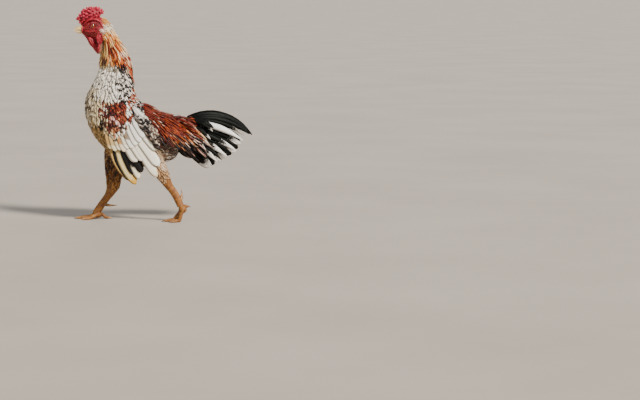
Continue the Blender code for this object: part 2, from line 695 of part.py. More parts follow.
def build_head(neck):
    head = loft(BIRD, "head", [spline(HEAD_RINGS, i * 6 / 10) for i in range(11)], 14)
    pieces = new_workshop("head_folds")
    loft(pieces, "throat", [spline(THROAT_RINGS, i * 5 / 7) for i in range(8)], 8)
    cutters = [swollen(neck)]
    for side in (LEFT, RIGHT):
        eye = Vector((EYE_AT[0], side * EYE_DEPTH, EYE_AT[1])) * MM
        lid_path = [
            eye + Y * (side * LID_OUT * MM)
            + Vector((math.cos(a) * 1.12, 0, math.sin(a) * 0.9)) * (LID_RADIUS * MM)
            for a in (2 * math.pi * k / 14 for k in range(14))
        ]
        closed_tube(pieces, f"lids_{side}", lid_path, LID_THICKNESS * MM, side)
        socket = ellipsoid(CUTTERS, f"socket_{side}", eye / MM, (EYE_RADIUS + 0.3,) * 3, 0, 8, 14)
        ear = ellipsoid(CUTTERS, f"ear_{side}", (EAR_AT[0], side * 14.2, EAR_AT[1]),
                        (EAR_RADIUS, 2.4, EAR_RADIUS * 1.2), 0, 6, 10)
        for cutter in (socket, ear):
            cutter.hide_render = True
            cutters.append(cutter)
    fuse(head, pieces, cutters)
    return node(head, "red_skin")


def closed_tube(collection, name, path, radius, side):
    """A ring-shaped fold round the eye, thicker above where the brow is."""
    sides, count = 5, len(path)
    points, faces = [], []
    middle = sum(path, Vector()) / count
    for i, centre in enumerate(path):
        outward = (centre - middle).normalized()
        thick = radius * (1.0 + 0.35 * max(outward.z, 0))
        for k in range(sides):
            a = 2 * math.pi * k / sides
            points.append(centre + outward * math.cos(a) * thick + Y * (side * math.sin(a) * thick))
    for i in range(count):
        for k in range(sides):
            a, b = i * sides + k, i * sides + (k + 1) % sides
            c, d = (i + 1) % count * sides + (k + 1) % sides, (i + 1) % count * sides + k
            faces.append((a, b, c, d))
    return put_in(collection, name, points, faces)


def build_face(head, neck):
    upper = loft(BIRD, "bill_upper", [spline(UPPER_BILL_RINGS, i * 4 / 6) for i in range(7)], 12)
    pits = []
    for side in (LEFT, RIGHT):
        middle = (NOSTRIL_AT[0], side * NOSTRIL_OUT, NOSTRIL_AT[1])
        pit = ellipsoid(CUTTERS, f"nostril_{side}", middle, NOSTRIL_SIZE, 0, 6, 8)
        pit.hide_render = True
        pits.append(pit)
    fuse(upper, None, pits)
    node(upper, "horn")
    lower = loft(BIRD, "bill_lower", [spline(LOWER_BILL_RINGS, i * 3 / 5) for i in range(6)], 12)
    fuse(lower, None, [swollen(upper)])
    node(lower, "horn")

    comb = loft(BIRD, "comb", COMB_BODY_RINGS, 10)
    points = new_workshop("comb_points")
    for k, (x, z, radius) in enumerate(COMB_CROWN):
        comb_point(points, f"crown_{k}", (x, random.uniform(-1.2, 1.2), z), radius)
    for side in (LEFT, RIGHT):
        for k, (x, z, radius) in enumerate(COMB_FLANK):
            out = side * COMB_FLANK_OUT * random.uniform(0.9, 1.05)
            comb_point(points, f"flank_{side}_{k}", (x, out, z), radius)
    fuse(comb, points, [swollen(head), swollen(upper)])
    node(comb, "red_skin")

    for side in (LEFT, RIGHT):
        word = SIDE_NAMES[side]
        middle = (EYE_AT[0], side * EYE_DEPTH, EYE_AT[1])
        node(ellipsoid(BIRD, f"eye_{word}", middle, (EYE_RADIUS,) * 3, 0, 7, 12), "eye")
        middle = (LOBE_AT[0], side * LOBE_OUT, LOBE_AT[1])
        lobe = ellipsoid(BIRD, f"earlobe_{word}", middle, LOBE_SIZE, LOBE_LEAN)
        middle = (WATTLE_AT[0], side * WATTLE_OUT, WATTLE_AT[1])
        wattle = ellipsoid(BIRD, f"wattle_{word}", middle, WATTLE_SIZE, WATTLE_LEAN)
        for flap in (lobe, wattle):
            fuse(flap, None, [swollen(head), swollen(neck)])
            node(flap, "red_skin")


def comb_point(collection, name, tip, radius):
    """A short blunt point that grows out of the comb's cushion, away from its middle."""
    tip = Vector(tip)
    root = Vector((COMB_CENTRE[0], 0, COMB_CENTRE[1]))
    back = (root - tip).normalized() * COMB_POINT_LENGTH
    path = [(tip + back * t) * MM for t in (1.0, 0.5, 0.15, 0.0)]
    return tube(collection, name, path, [radius * MM * r for r in (1.0, 1.0, 0.72, 0.3)], 5)


def stance(share):
    """A leg's distance from the middle of the bird: at the hip for 0, the hock for 1, the foot for 2."""
    if share < 1:
        return STANCE_HIP + (STANCE_HOCK - STANCE_HIP) * share
    return STANCE_HOCK + (STANCE_FOOT - STANCE_HOCK) * (share - 1)


def build_leg(side, torso):
    word = SIDE_NAMES[side]
    keys = THIGH_RINGS[side]
    rings = [spline(keys, i / 2) for i in range(2 * len(keys) - 1)]
    middles = [side * stance(i / (len(rings) - 1)) for i in range(len(rings))]
    thigh = loft(BIRD, f"thigh_{word}", rings, 16, middles)
    fuse(thigh, None, [swollen(torso)])
    node(thigh, "plumage_thigh")

    keys = SHANK_RINGS[side]
    rings, middles, shares = [], [], []
    for i in range(SCUTES_ON_SHANK):
        for edge in (0.0, 0.86):
            place = (i + edge) / SCUTES_ON_SHANK * (len(keys) - 1)
            ring = spline(keys, place)
            step = SCUTE_STEP * (edge / 0.86) if i else 0.0
            ring[0] -= step
            rings.append(ring)
            middles.append(side * stance(1 + place / (len(keys) - 1)))
    rings.append(keys[-1])
    middles.append(side * stance(2))
    shank = loft(BIRD, f"shank_{word}", rings, 10, middles)
    pieces = new_workshop(f"foot_pad_{word}")
    middle = (PAD_AT[side][0], side * STANCE_FOOT, PAD_AT[side][1])
    pad = ellipsoid(pieces, f"pad_{word}", middle, PAD_SIZE[side], PAD_LEAN[side], 8, 14)
    for vertex in pad.data.vertices:
        vertex.co.z = max(vertex.co.z, PAD_SOLE * MM)
    fuse(shank, pieces)
    node(shank, "leg_scale")

    path = []
    for i in range(len(SPUR_TAPER)):
        t = i / (len(SPUR_TAPER) - 1)
        x, z = bezier(*SPUR_PATH[side], t)
        path.append(Vector((x, side * (stance(1.7) - 1.5 - SPUR_INWARD * t), z)) * MM)
    spur = tube(BIRD, f"spur_{word}", path, [SPUR_RADIUS * MM * r for r in SPUR_TAPER], 8)
    fuse(spur, None, [swollen(shank)])
    node(spur, "claw_horn")

    toes = []
    for toe, (heading, reach, claw_reach) in TOES.items():
        if toe == "hind" and side == LEFT:
            claw_reach = LEFT_HIND_CLAW
        toes.append(build_toe(side, toe, heading, reach, claw_reach, shank, toes))
    return thigh


def toe_path(side, toe, heading, reach):
    """Points of a toe's middle line, in metres, from inside the foot pad to the root of the claw."""
    turn = math.radians(heading)
    ahead = Vector((-math.cos(turn), side * math.sin(turn), 0))
    pad = Vector((PAD_AT[side][0], side * STANCE_FOOT, PAD_AT[side][1]))
    out = {"inner": -TOE_SPREAD, "outer": TOE_SPREAD}.get(toe, 0.0)
    start = pad + Y * (side * out)
    low = TOE_RADIUS - SOLE_SINK
    if toe == "hind" and side == RIGHT:
        heights = (start.z + 1.0, start.z + 0.2, low + 0.2, TOE_END_RADIUS - SOLE_SINK)
        reaches = (3, 9, 9 + reach * 0.5, 9 + reach)
        return [Vector((*(start + ahead * r).xy, h)) for r, h in zip(reaches, heights)]
    if toe == "hind":
        back = Vector((0.96, -side * 0.2, 0.0))
        return [start + back * step + Z * rise for step, rise in LEFT_HIND_TOE]
    if side == RIGHT:
        points = [start + ahead * 1.0, Vector((*(start + ahead * 8).xy, low + 2.4))]
        for i in range(1, TOE_KNUCKLES + 1):
            radius = TOE_RADIUS + (TOE_END_RADIUS - TOE_RADIUS) * i / TOE_KNUCKLES
            points.append(Vector((*(start + ahead * (8 + reach * i / TOE_KNUCKLES)).xy, radius - SOLE_SINK)))
        return points
    bend = Vector((LEFT_TOE_BENDS[toe], start.y + side * out * 0.35, LEFT_TOE_BEND_HEIGHT))
    points = [start, start.lerp(bend, 0.5), Vector((bend.x, bend.y, low + 0.3))]
    flat = reach - LEFT_TOE_SHORTER
    for i in range(1, TOE_KNUCKLES + 1):
        radius = TOE_RADIUS + (TOE_END_RADIUS - TOE_RADIUS) * i / TOE_KNUCKLES
        points.append(Vector((*(bend + ahead * (flat * i / TOE_KNUCKLES)).xy, radius - SOLE_SINK)))
    return points


def build_toe(side, toe, heading, reach, claw_reach, shank, others):
    word = f"{SIDE_NAMES[side]}_{toe}"
    keys = [tuple(p) for p in toe_path(side, toe, heading, reach)]
    path = [Vector(along(keys, i / TOE_STEPS)) * MM for i in range(TOE_STEPS + 1)]
    radii = []
    for i in range(TOE_STEPS + 1):
        taper = TOE_RADIUS + (TOE_END_RADIUS - TOE_RADIUS) * i / TOE_STEPS
        knuckle = 1.0 + 0.07 * math.cos(i / TOE_STEPS * 2 * math.pi * TOE_KNUCKLES)
        radii.append(taper * knuckle * MM * (0.9 if toe == "hind" else 1.0))
    body = tube(BIRD, f"toe_{word}", path, radii, 7, floor=0.0)
    fuse(body, None, [swollen(shank)] + [swollen(o) for o in others])

    ahead = (path[-1] - path[-2]).normalized()
    level = Vector((ahead.x, ahead.y, 0)).normalized()
    base = path[-1] + ahead * GAP
    grounded = path[-1].z < 0.006
    claw_path, claw_radii = [base], [TOE_END_RADIUS * 0.82 * MM]
    for t in (0.25, 0.5, 0.75, 1.0):
        rise = CLAW_CURL * math.sin(t * math.pi * 0.62) * 0.7 * MM
        point = base + level * (claw_reach * t * MM) + Z * rise
        radius = TOE_END_RADIUS * (0.82 - 0.7 * t) * MM
        if grounded:
            point.z = max(radius + 0.0002, base.z * (1 - t) + rise * (1 - t) + radius * t)
        else:
            point.z -= CLAW_DROP * MM * t * t
        claw_path.append(point)
        claw_radii.append(radius)
    claw = tube(BIRD, f"claw_{word}", claw_path, claw_radii, 6)
    fuse(claw, None, [swollen(body)])
    node(claw, "claw_horn")
    return node(body, "leg_scale")


clear_scene()
random.seed(7)
BIRD = bpy.data.collections.new("vietnamese_bantam_cock")
CUTTERS = bpy.data.collections.new("cutters")
WORKSHOP = bpy.data.collections.new("feathers_before_joining")
for made_collection in (BIRD, CUTTERS, WORKSHOP):
    bpy.context.scene.collection.children.link(made_collection)
CUTTERS.hide_render = True

torso, neck = build_trunk()
build_tail(torso)
head = build_head(neck)
build_face(head, neck)
thighs = {}
for side in (LEFT, RIGHT):
    thighs[side] = build_leg(side, torso)
for side in (LEFT, RIGHT):
    build_wing(side, [torso, thighs[side], neck])
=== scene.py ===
import math

import bpy
import numpy as np
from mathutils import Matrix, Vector, noise
from mathutils.bvhtree import BVHTree


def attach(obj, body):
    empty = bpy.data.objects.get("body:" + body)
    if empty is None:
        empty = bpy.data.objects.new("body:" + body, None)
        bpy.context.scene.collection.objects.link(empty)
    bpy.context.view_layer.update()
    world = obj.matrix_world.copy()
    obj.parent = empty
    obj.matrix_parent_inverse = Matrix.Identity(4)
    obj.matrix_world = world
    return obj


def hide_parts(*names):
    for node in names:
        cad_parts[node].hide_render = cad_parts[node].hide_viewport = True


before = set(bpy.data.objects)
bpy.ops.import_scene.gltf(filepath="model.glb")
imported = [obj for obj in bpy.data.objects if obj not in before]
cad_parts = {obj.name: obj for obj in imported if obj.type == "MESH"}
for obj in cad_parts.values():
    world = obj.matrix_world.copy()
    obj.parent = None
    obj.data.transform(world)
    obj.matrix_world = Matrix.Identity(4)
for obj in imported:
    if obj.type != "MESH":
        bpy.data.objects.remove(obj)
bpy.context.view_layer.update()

# The cock stands in mid stride on the floor, facing -X, with its left side to the camera.
luck = np.random.default_rng(11)


# The camera looks from the bird's left side and a little down, from far enough off that the
# long lens draws the body without distortion. The bird stands in the left half of the picture.
def added(name, data):
    """A new object in the scene."""
    made = bpy.data.objects.new(name, data)
    bpy.context.scene.collection.objects.link(made)
    return made


def aimed(obj, place, target):
    """Puts a camera or a lamp at a place, turned to look at a target."""
    obj.location = place
    obj.rotation_euler = (Vector(target) - obj.location).to_track_quat("-Z", "Y").to_euler()


camera = added("camera", bpy.data.cameras.new("camera"))
aimed(camera, (0.0, -3.4915, 0.4341), (0.2853, 0.0, 0.0337))
camera.data.sensor_width = 36.0
camera.data.lens = 108.8
camera.data.clip_start = 0.05
bpy.context.scene.camera = camera


# The floor is one pale matt sheet under three lamps: a strong warm one high on the right of the
# camera, a wide cool one on the left, and one behind that lights the edges of the feathers.
class Wire:
    """A socket in a finish, so that what is done to it can be written as a sum."""

    def __init__(self, tree, socket=None):
        self.tree = tree
        self.socket = socket

    def node(self, kind, settings=None, inputs=None, output=0):
        made = self.tree.nodes.new("ShaderNode" + kind)
        for key, value in (settings or {}).items():
            setattr(made, key, value)
        for key, value in (inputs or {}).items():
            self.feed(made.inputs[key], value)
        return Wire(self.tree, made.outputs[output])

    def other(self, output):
        """Another output of the same node."""
        return Wire(self.tree, self.socket.node.outputs[output])

    def feed(self, socket, value):
        """Links a wire to a socket, or sets a constant on the socket itself."""
        if isinstance(value, Wire):
            self.tree.links.new(value.socket, socket)
        else:
            socket.default_value = value

    def math(self, kind, *values):
        return self.node("Math", {"operation": kind}, dict(enumerate((self, *values))))

    def __add__(self, value):
        return self.math("ADD", value)

    def __radd__(self, value):
        return self.math("ADD", value)

    def __sub__(self, value):
        return self.math("SUBTRACT", value)

    def __mul__(self, value):
        return self.math("MULTIPLY", value)

    def step(self, low, high):
        """Rises smoothly from 0 at low to 1 at high, or falls where low is the greater."""
        return self.node("MapRange", {"interpolation_type": "SMOOTHSTEP"}, {0: self, 1: low, 2: high})

    def blend(self, first, second):
        """A colour that goes from the first to the second as this number goes from 0 to 1."""
        settings = {"data_type": "RGBA", "clamp_factor": True}
        return self.node("Mix", settings, {0: self, 6: first, 7: second}, 2)

    def stretched(self, x, y, z):
        return self.node("VectorMath", {"operation": "MULTIPLY"}, {0: self, 1: (x, y, z)})

    def lit(self, amount):
        """A colour made lighter or darker by a number."""
        return self.node("VectorMath", {"operation": "SCALE"}, {0: self, "Scale": amount})

    def place(self):
        """Where a point lies, in metres."""
        return self.node("TexCoord", output=3)

    def stored(self, name, output=0):
        """A value that is kept with the points of a mesh."""
        return self.node("Attribute", {"attribute_name": name}, output=output)

    def cloudy(self, scale, detail, roughness=0.5):
        """Soft noise at this place, from 0 to 1."""
        inputs = {"Vector": self, "Scale": scale, "Detail": detail, "Roughness": roughness}
        return self.node("TexNoise", None, inputs)

    def bump(self, strength, depth):
        return self.node("Bump", None, {"Height": self, "Strength": strength, "Distance": depth})


def tint(code):
    """A colour written as six hexadecimal digits, as linear light."""
    parts = [int(code[i:i + 2], 16) / 255 for i in (0, 2, 4)]
    return (*(c / 12.92 if c <= 0.04045 else ((c + 0.055) / 1.055) ** 2.4 for c in parts), 1.0)


def finish(name, constants):
    """A new finish with its constants, a wire to build the rest with, and its shader's sockets."""
    material = bpy.data.materials.new(name)
    material.use_nodes = True
    sockets = material.node_tree.nodes["Principled BSDF"].inputs
    for key, value in constants.items():
        sockets[key].default_value = value
    return material, Wire(material.node_tree), sockets


floor_mesh = bpy.data.meshes.new("floor")
floor_mesh.from_pydata([(-40, -20, 0), (40, -20, 0), (40, 90, 0), (-40, 90, 0)], [], [(0, 1, 2, 3)])
floor = added("floor", floor_mesh)
paper, wire, sockets = finish("pale_floor", {"Roughness": 0.85})
grain = wire.place().cloudy(3.0, 4.0)
wire.feed(sockets["Base Color"], grain.step(0.2, 0.8).blend(tint("9b9287"), tint("a49b90")))
floor_mesh.materials.append(paper)

sky = bpy.data.worlds.new("studio")
sky.use_nodes = True
sky.node_tree.nodes["Background"].inputs["Color"].default_value = (0.90, 0.92, 0.96, 1)
sky.node_tree.nodes["Background"].inputs["Strength"].default_value = 0.44
bpy.context.scene.world = sky
for name, place, width, power, colour in (
    ("key_lamp", (1.9, -2.0, 2.5), 12, 6.9, (1.0, 0.95, 0.87)),
    ("fill_lamp", (-2.0, -2.4, 0.9), 60, 0.45, (0.90, 0.95, 1.0)),
    ("edge_lamp", (0.6, 2.4, 2.0), 40, 0.9, (1.0, 0.98, 0.95)),
):
    lamp = added(name, bpy.data.lights.new(name, "SUN"))
    lamp.data.angle = math.radians(width)
    lamp.data.energy = power
    lamp.data.color = colour
    aimed(lamp, place, (0.0, 0.0, 0.2))


# The trunk and the neck are one long oval form that most of the coat grows from. Each row of
# numbers is an oval's top and bottom point and its half width, from the tail to the nape.
MM = 0.001
TRUNK_OVALS = [
    (43.4, 187.2, 33.0, 130.4, 11.5), (25.4, 189.9, 19.0, 109.0, 20.0),
    (5.6, 193.5, -12.0, 101.5, 29.0), (-14.2, 199.8, -43.0, 99.5, 34.0),
    (-32.2, 208.8, -73.6, 109.8, 36.5), (-43.0, 219.6, -98.8, 127.8, 36.0),
    (-47.5, 230.4, -117.7, 147.6, 34.0), (-49.3, 241.2, -130.3, 169.2, 31.0),
    (-48.8, 252.0, -137.5, 194.4, 28.0), (-48.1, 262.8, -136.6, 219.6, 25.0),
    (-48.4, 273.6, -127.6, 239.4, 22.5), (-51.1, 286.2, -118.6, 257.4, 20.5),
    (-56.5, 298.8, -111.5, 275.4, 18.5), (-64.6, 312.3, -109.5, 295.2, 16.6),
    (-74.5, 325.8, -108.7, 312.2, 15.2), (-80.5, 336.5, -107.4, 316.2, 14.0),
    (-87.4, 348.8, -107.2, 317.6, 13.9), (-92.4, 356.0, -107.6, 318.8, 14.1),
    (-97.4, 361.4, -108.0, 319.8, 14.3),
]
NAPE = 18.0
# Where the cape of hackles ends, by the angle from the back to the breast in steps of 45.
CAPE_HEM = [(6.9,), (9.3,), (11.1,), (12.3,), (13.0,)]
TUCK_UNDER_CAPE, TUCK_UNDER_SADDLE = 0.15, 0.05


def spline(keys, place):
    """Rows of numbers at places along the keys, on a curve through each key, straight past its ends."""
    keys = np.asarray(keys, float)
    place = np.asarray(place, float)
    inside = np.clip(place, 0, len(keys) - 1.0)
    low = np.minimum(inside.astype(int), len(keys) - 2)
    t = (inside - low)[..., None]
    a, b, c, d = (keys[np.clip(low + k, 0, len(keys) - 1)] for k in (-1, 0, 1, 2))
    curve = b + 0.5 * t * (c - a + t * (2 * a - 5 * b + 4 * c - d + t * (3 * (b - c) + d - a)))
    first = np.minimum(place, 0.0)[..., None] * (keys[1] - keys[0])
    last = np.maximum(place - (len(keys) - 1.0), 0.0)[..., None] * (keys[-1] - keys[-2])
    return curve + first + last


def unit(vectors):
    """The same directions at a length of 1."""
    return vectors / np.maximum(np.linalg.norm(vectors, axis=-1, keepdims=True), 1e-9)


class Form:
    """A body over oval rings, where a point has a place along the rings and an angle round them."""

    def __init__(self, ovals, middles=0.0, share=None):
        self.ovals = np.array(ovals, float)
        self.middles = np.zeros((len(ovals), 1)) + np.reshape(middles, (-1, 1))
        self.share = share

    def at(self, place, angle, lift=0.0):
        """Points on the form, or lifted off it by millimetres."""
        place, angle, lift = np.broadcast_arrays(
            np.asarray(place, float), np.asarray(angle, float), np.asarray(lift, float))
        top_x, top_z, low_x, low_z, wide = np.moveaxis(spline(self.ovals, place), -1, 0)
        middle = spline(self.middles, place)[..., 0]
        share = self.share(place, angle) if self.share else 1.0
        up = np.cos(np.radians(angle)) * share
        out = np.sin(np.radians(angle)) * share
        centre = np.stack([(top_x + low_x) / 2, middle, (top_z + low_z) / 2], -1)
        point = centre + np.stack([(top_x - low_x) / 2 * up, wide * out, (top_z - low_z) / 2 * up], -1)
        return point + unit(point - centre) * lift[..., None]

    def out(self, place, angle):
        """Which way is out of the form."""
        place, angle = np.broadcast_arrays(np.asarray(place, float), np.asarray(angle, float))
        along = self.at(place + 0.1, angle) - self.at(place - 0.1, angle)
        around = self.at(place, angle + 2.0) - self.at(place, angle - 2.0)
        outward = unit(np.cross(along, around))
        away = self.at(place, angle, 1.0) - self.at(place, angle)
        return outward * np.sign(np.sum(outward * away, -1, keepdims=True))

    def stretch(self, place, angle):
        """Millimetres to one step of place."""
        return np.linalg.norm(self.at(place + 0.1, angle) - self.at(place - 0.1, angle), axis=-1) / 0.2

    def net(self, first, last, steps, sides, lift=0.0):
        """Rings of points from one place to another."""
        place = np.linspace(first, last, steps)[:, None]
        angle = (np.arange(sides) * 360.0 / sides)[None, :]
        return self.at(place, angle, lift)


def trunk_share(place, angle):
    """How much of its full size the trunk has, drawn in under the cape and under the saddle."""
    turned = np.abs((angle + 180) % 360 - 180)
    over_cape = np.clip((place - spline(CAPE_HEM, turned / 45)[..., 0]) / 1.8, 0, 1)
    under_nape = np.clip((NAPE - place) / 1.8, 0, 1)
    over_rump = np.clip((4.0 - place) / 1.5, 0, 1)
    return 1 - TUCK_UNDER_CAPE * over_cape * under_nape - TUCK_UNDER_SADDLE * over_rump


trunk = Form(TRUNK_OVALS, share=trunk_share)


# The skin is one piece over the trunk, the neck, the thighs, the arms of the wings and the
# head, a coat's depth inside the solids. Here are its plain forms, before they grow together.
THIGH_OVALS = {
    1: [(-100.6, 141.8, -46.6, 123.8, 15.5), (-104.9, 123.8, -59.2, 111.2, 15.0),
        (-105.3, 105.8, -67.3, 96.8, 13.5), (-104.2, 87.8, -73.3, 82.4, 11.5),
        (-102.4, 71.6, -75.8, 68.9, 9.4), (-101.7, 58.0, -79.0, 57.0, 7.8)],
    -1: [(-68.2, 139.3, -17.8, 160.9, 15.0), (-52.0, 119.5, -8.8, 139.3, 14.5),
         (-35.8, 102.4, -2.5, 123.1, 12.5), (-22.3, 89.8, 3.8, 107.8, 10.6),
         (-11.5, 79.9, 9.2, 94.3, 9.0), (-4.7, 72.6, 12.4, 83.4, 7.6)],
}
# How far out from the middle the hip, the hock and the foot of each leg are.
HIP, HOCK, FOOT = 19.0, 26.0, 29.0
thighs = {side: Form(rows, [side * (HIP + (HOCK - HIP) * k / 5) for k in range(6)])
          for side, rows in THIGH_OVALS.items()}
TAIL_ROOT_OVALS = [
    (38.0, 187.5, 24.0, 138.0, 12.0), (43.8, 186.9, 29.4, 140.6, 11.0), (50.0, 186.0, 40.0, 147.0, 9.0),
    (58.0, 183.0, 50.0, 154.0, 6.0), (64.0, 178.0, 59.0, 162.0, 3.0),
]
SKULL_OVALS = [
    (-92.4, 356.0, -107.6, 322.0, 12.0),
    (-98.0, 361.9, -108.6, 320.0, 14.3), (-105.0, 365.4, -115.4, 323.2, 14.4),
    (-111.4, 366.4, -122.2, 326.7, 13.8), (-120.4, 365.6, -128.5, 330.3, 12.6),
    (-129.4, 361.8, -133.9, 333.4, 10.2), (-136.0, 357.3, -137.2, 335.7, 7.8),
    (-139.4, 353.6, -139.8, 337.0, 6.4),
]
skull = Form(SKULL_OVALS)
THROAT_OVALS = [
    (-140.0, 337.2, -128.0, 340.0, 3.6), (-136.6, 332.0, -121.0, 336.0, 5.0),
    (-132.0, 325.5, -110.0, 330.0, 5.4), (-126.5, 317.4, -99.0, 322.0, 5.2),
    (-121.0, 308.8, -98.0, 311.5, 4.6), (-114.6, 300.7, -97.0, 302.0, 3.6),
]


def shell(net):
    """Points and faces of a closed form over rings of points, with a point in the middle of each end."""
    corner = np.arange(net[..., 0].size).reshape(net.shape[:2])
    after = np.roll(corner, -1, 1)
    faces = np.stack([corner[:-1], after[:-1], after[1:], corner[1:]], -1).reshape(-1, 4).tolist()
    faces += np.stack([after[0], corner[0], corner[0] * 0 + corner.size], 1).tolist()
    faces += np.stack([corner[-1], after[-1], corner[-1] * 0 + corner.size + 1], 1).tolist()
    return np.concatenate([net.reshape(-1, 3), net[:1].mean(1), net[-1:].mean(1)]), faces


def ball(centre, size, lean=0.0, yaw=0.0, rings=14, sides=24):
    """A ball stretched to half sizes, leaned in the side view and then turned about the upright."""
    turn = np.radians(np.linspace(4, 176, rings))[:, None]
    around = np.radians(np.arange(sides) * 360.0 / sides)[None, :]
    net = np.stack([np.sin(turn) * np.cos(around), np.sin(turn) * np.sin(around),
                    np.cos(turn) + around * 0], -1) * np.asarray(size, float)
    c, s = math.cos(math.radians(lean)), math.sin(math.radians(lean))
    net = net @ np.array([[c, 0, s], [0, 1, 0], [-s, 0, c]])
    c, s = math.cos(math.radians(yaw)), math.sin(math.radians(yaw))
    net = net @ np.array([[c, s, 0], [-s, c, 0], [0, 0, 1]])
    return shell(net + np.asarray(centre, float))


def pipe(path, radii, sides=16, flat=1.0, up=(0.0, 0.0, 1.0)):
    """A round rod along a path, narrowed to a share of its radius along the up direction."""
    path = np.asarray(path, float)
    ahead = unit(np.gradient(path, axis=0))
    across = unit(np.cross(ahead, np.broadcast_to(up, path.shape)))
    above = np.cross(across, ahead)
    around = np.radians(np.arange(sides) * 360.0 / sides)[None, :, None]
    radii = np.asarray(radii, float).reshape(len(path), -1)[:, :, None]
    net = path[:, None] + radii * (np.cos(around) * across[:, None] + flat * np.sin(around) * above[:, None])
    return shell(net)


def gathered(pieces):
    """Several sets of points and faces as one."""
    points, faces, count = [], [], 0
    for some, rows in pieces:
        points.append(some)
        faces += [[corner + count for corner in row] for row in rows]
        count += len(some)
    return np.concatenate(points), faces


def solid(name, points, faces):
    """An object from points in millimetres, shaded smooth."""
    mesh = bpy.data.meshes.new(name)
    mesh.from_pydata(np.asarray(points) * MM, [], faces)
    mesh.update()
    mesh.shade_smooth()
    return added(name, mesh)


def applied(obj):
    """Puts an object's modifiers into its mesh."""
    bpy.context.view_layer.update()
    mesh = bpy.data.meshes.new_from_object(obj.evaluated_get(bpy.context.evaluated_depsgraph_get()))
    obj.modifiers.clear()
    obj.data = mesh
    return obj


def grown(name, pieces, grain):
    """Closed forms that overlap, grown together into one surface of small even faces."""
    made = solid(name, *gathered(pieces))
    melt = made.modifiers.new("melt", "REMESH")
    melt.mode = "VOXEL"
    melt.voxel_size = grain * MM
    return applied(made)


def read(items, key, width, kind=float):
    """Numbers kept with every point, edge or corner of a mesh, in rows."""
    flat = np.empty(len(items) * width, kind)
    items.foreach_get(key, flat)
    return flat.reshape(-1, width)


def measured(mesh):
    """A mesh's points in millimetres, its edges, and which way is out at each point."""
    return (read(mesh.vertices, "co", 3) / MM, read(mesh.edges, "vertices", 2, np.int64),
            read(mesh.vertices, "normal", 3))


def eased(points, edges, turns, pull=0.5):
    """Each point drawn towards the middle of its neighbours."""
    count = np.bincount(edges.ravel(), minlength=len(points))[:, None]
    for _ in range(turns):
        total = np.zeros_like(points)
        for axis in range(points.shape[1]):
            total[:, axis] = np.bincount(edges[:, 0], points[edges[:, 1], axis], len(points))
            total[:, axis] += np.bincount(edges[:, 1], points[edges[:, 0], axis], len(points))
        points = points + (total / np.maximum(count, 1) - points) * pull
    return points


def write_points(mesh, points):
    """Moves a mesh's points to places in millimetres."""
    mesh.vertices.foreach_set("co", (np.asarray(points) * MM).ravel())
    mesh.update()


BODY_GRAIN, HEAD_GRAIN, COVER_GRAIN = 1.25, 0.42, 2.0
COAT_DEPTH = -2.8
body_forms = [shell(trunk.net(0.0, NAPE, 60, 40, COAT_DEPTH))]
body_forms.append(shell(Form(TAIL_ROOT_OVALS).net(0, 4, 12, 20, -0.8)))
for side in (-1, 1):
    body_forms.append(shell(thighs[side].net(0.2, 4.95, 26, 28, -1.6)))
    body_forms.append(ball((-75.0, side * 31.5, 174.0), (19.0, 9.0, 32.0), -32.0))
body = grown("body", body_forms, BODY_GRAIN)
points, edges, _ = measured(body.data)
write_points(body.data, eased(points, edges, 3))


# The head is bare red skin: a skull, a fold down the throat, a fleshy comb of many short
# points, lobes behind the cheeks and wattles under the chin, all living flesh and one surface.
EYE = (-121.7, 8.6, 350.5)
EYE_SIZE = 4.8
EYE_OPENING = (4.1, 3.3)
PEBBLE_HEIGHT = 0.2
COMB_MIDDLE = np.array([-122.0, 0.0, 355.0])
KNOB_LONG, KNOB_THICK = (4.4, 6.0), (1.6, 2.5)
KNOB_OUTLINE = (1.0, 1.0, 0.98, 0.97, 0.97, 0.94, 0.85, 0.62, 0.22)
COMB_CUSHION = [
    (-148.6, 364.0, -142.0, 350.5, 3.6), (-143.4, 373.6, -134.5, 354.5, 7.2),
    (-133.0, 380.6, -126.5, 358.0, 8.8), (-121.0, 382.0, -118.0, 361.5, 8.6),
    (-109.4, 381.0, -110.5, 364.5, 6.8), (-104.6, 379.0, -107.5, 370.5, 3.4),
]
BROW = [
    (-138.5, 6.2, 352.0), (-133.5, 8.2, 358.2), (-126.0, 10.0, 361.8),
    (-117.5, 11.2, 362.3), (-109.5, 12.4, 358.6), (-105.0, 13.6, 350.5),
]
CHEEK = [
    (-138.5, 6.4, 343.4), (-133.0, 9.6, 341.5), (-126.0, 12.0, 340.5),
    (-118.0, 13.6, 341.0), (-111.5, 14.2, 343.5),
]


def scattered(points, gap, keep=None):
    """Which points to keep so that no two are nearer than the gap, in their own order."""
    taken, kept = {}, []
    around = [(i, j, k) for i in (-1, 0, 1) for j in (-1, 0, 1) for k in (-1, 0, 1)]
    cells = np.floor(points / gap).astype(int).tolist()
    for index, ((a, b, c), (x, y, z)) in enumerate(zip(cells, points.tolist())):
        if keep is None or keep[index]:
            others = (spot for i, j, k in around for spot in taken.get((a + i, b + j, c + k), ()))
            if all((x - p) ** 2 + (y - q) ** 2 + (z - r) ** 2 >= gap * gap for p, q, r in others):
                taken.setdefault((a, b, c), []).append((x, y, z))
                kept.append(index)
    return np.array(kept)


def fold(side, keys, steps, thin, swell, sides):
    """A fold of skin along points on one side of the head, thickest in its middle."""
    last = len(keys) - 1
    reach = np.linspace(0, last, steps)
    line = spline(np.array(keys) * (1, side, 1), reach)
    return pipe(line, thin + swell * np.sin(reach / last * math.pi), sides)


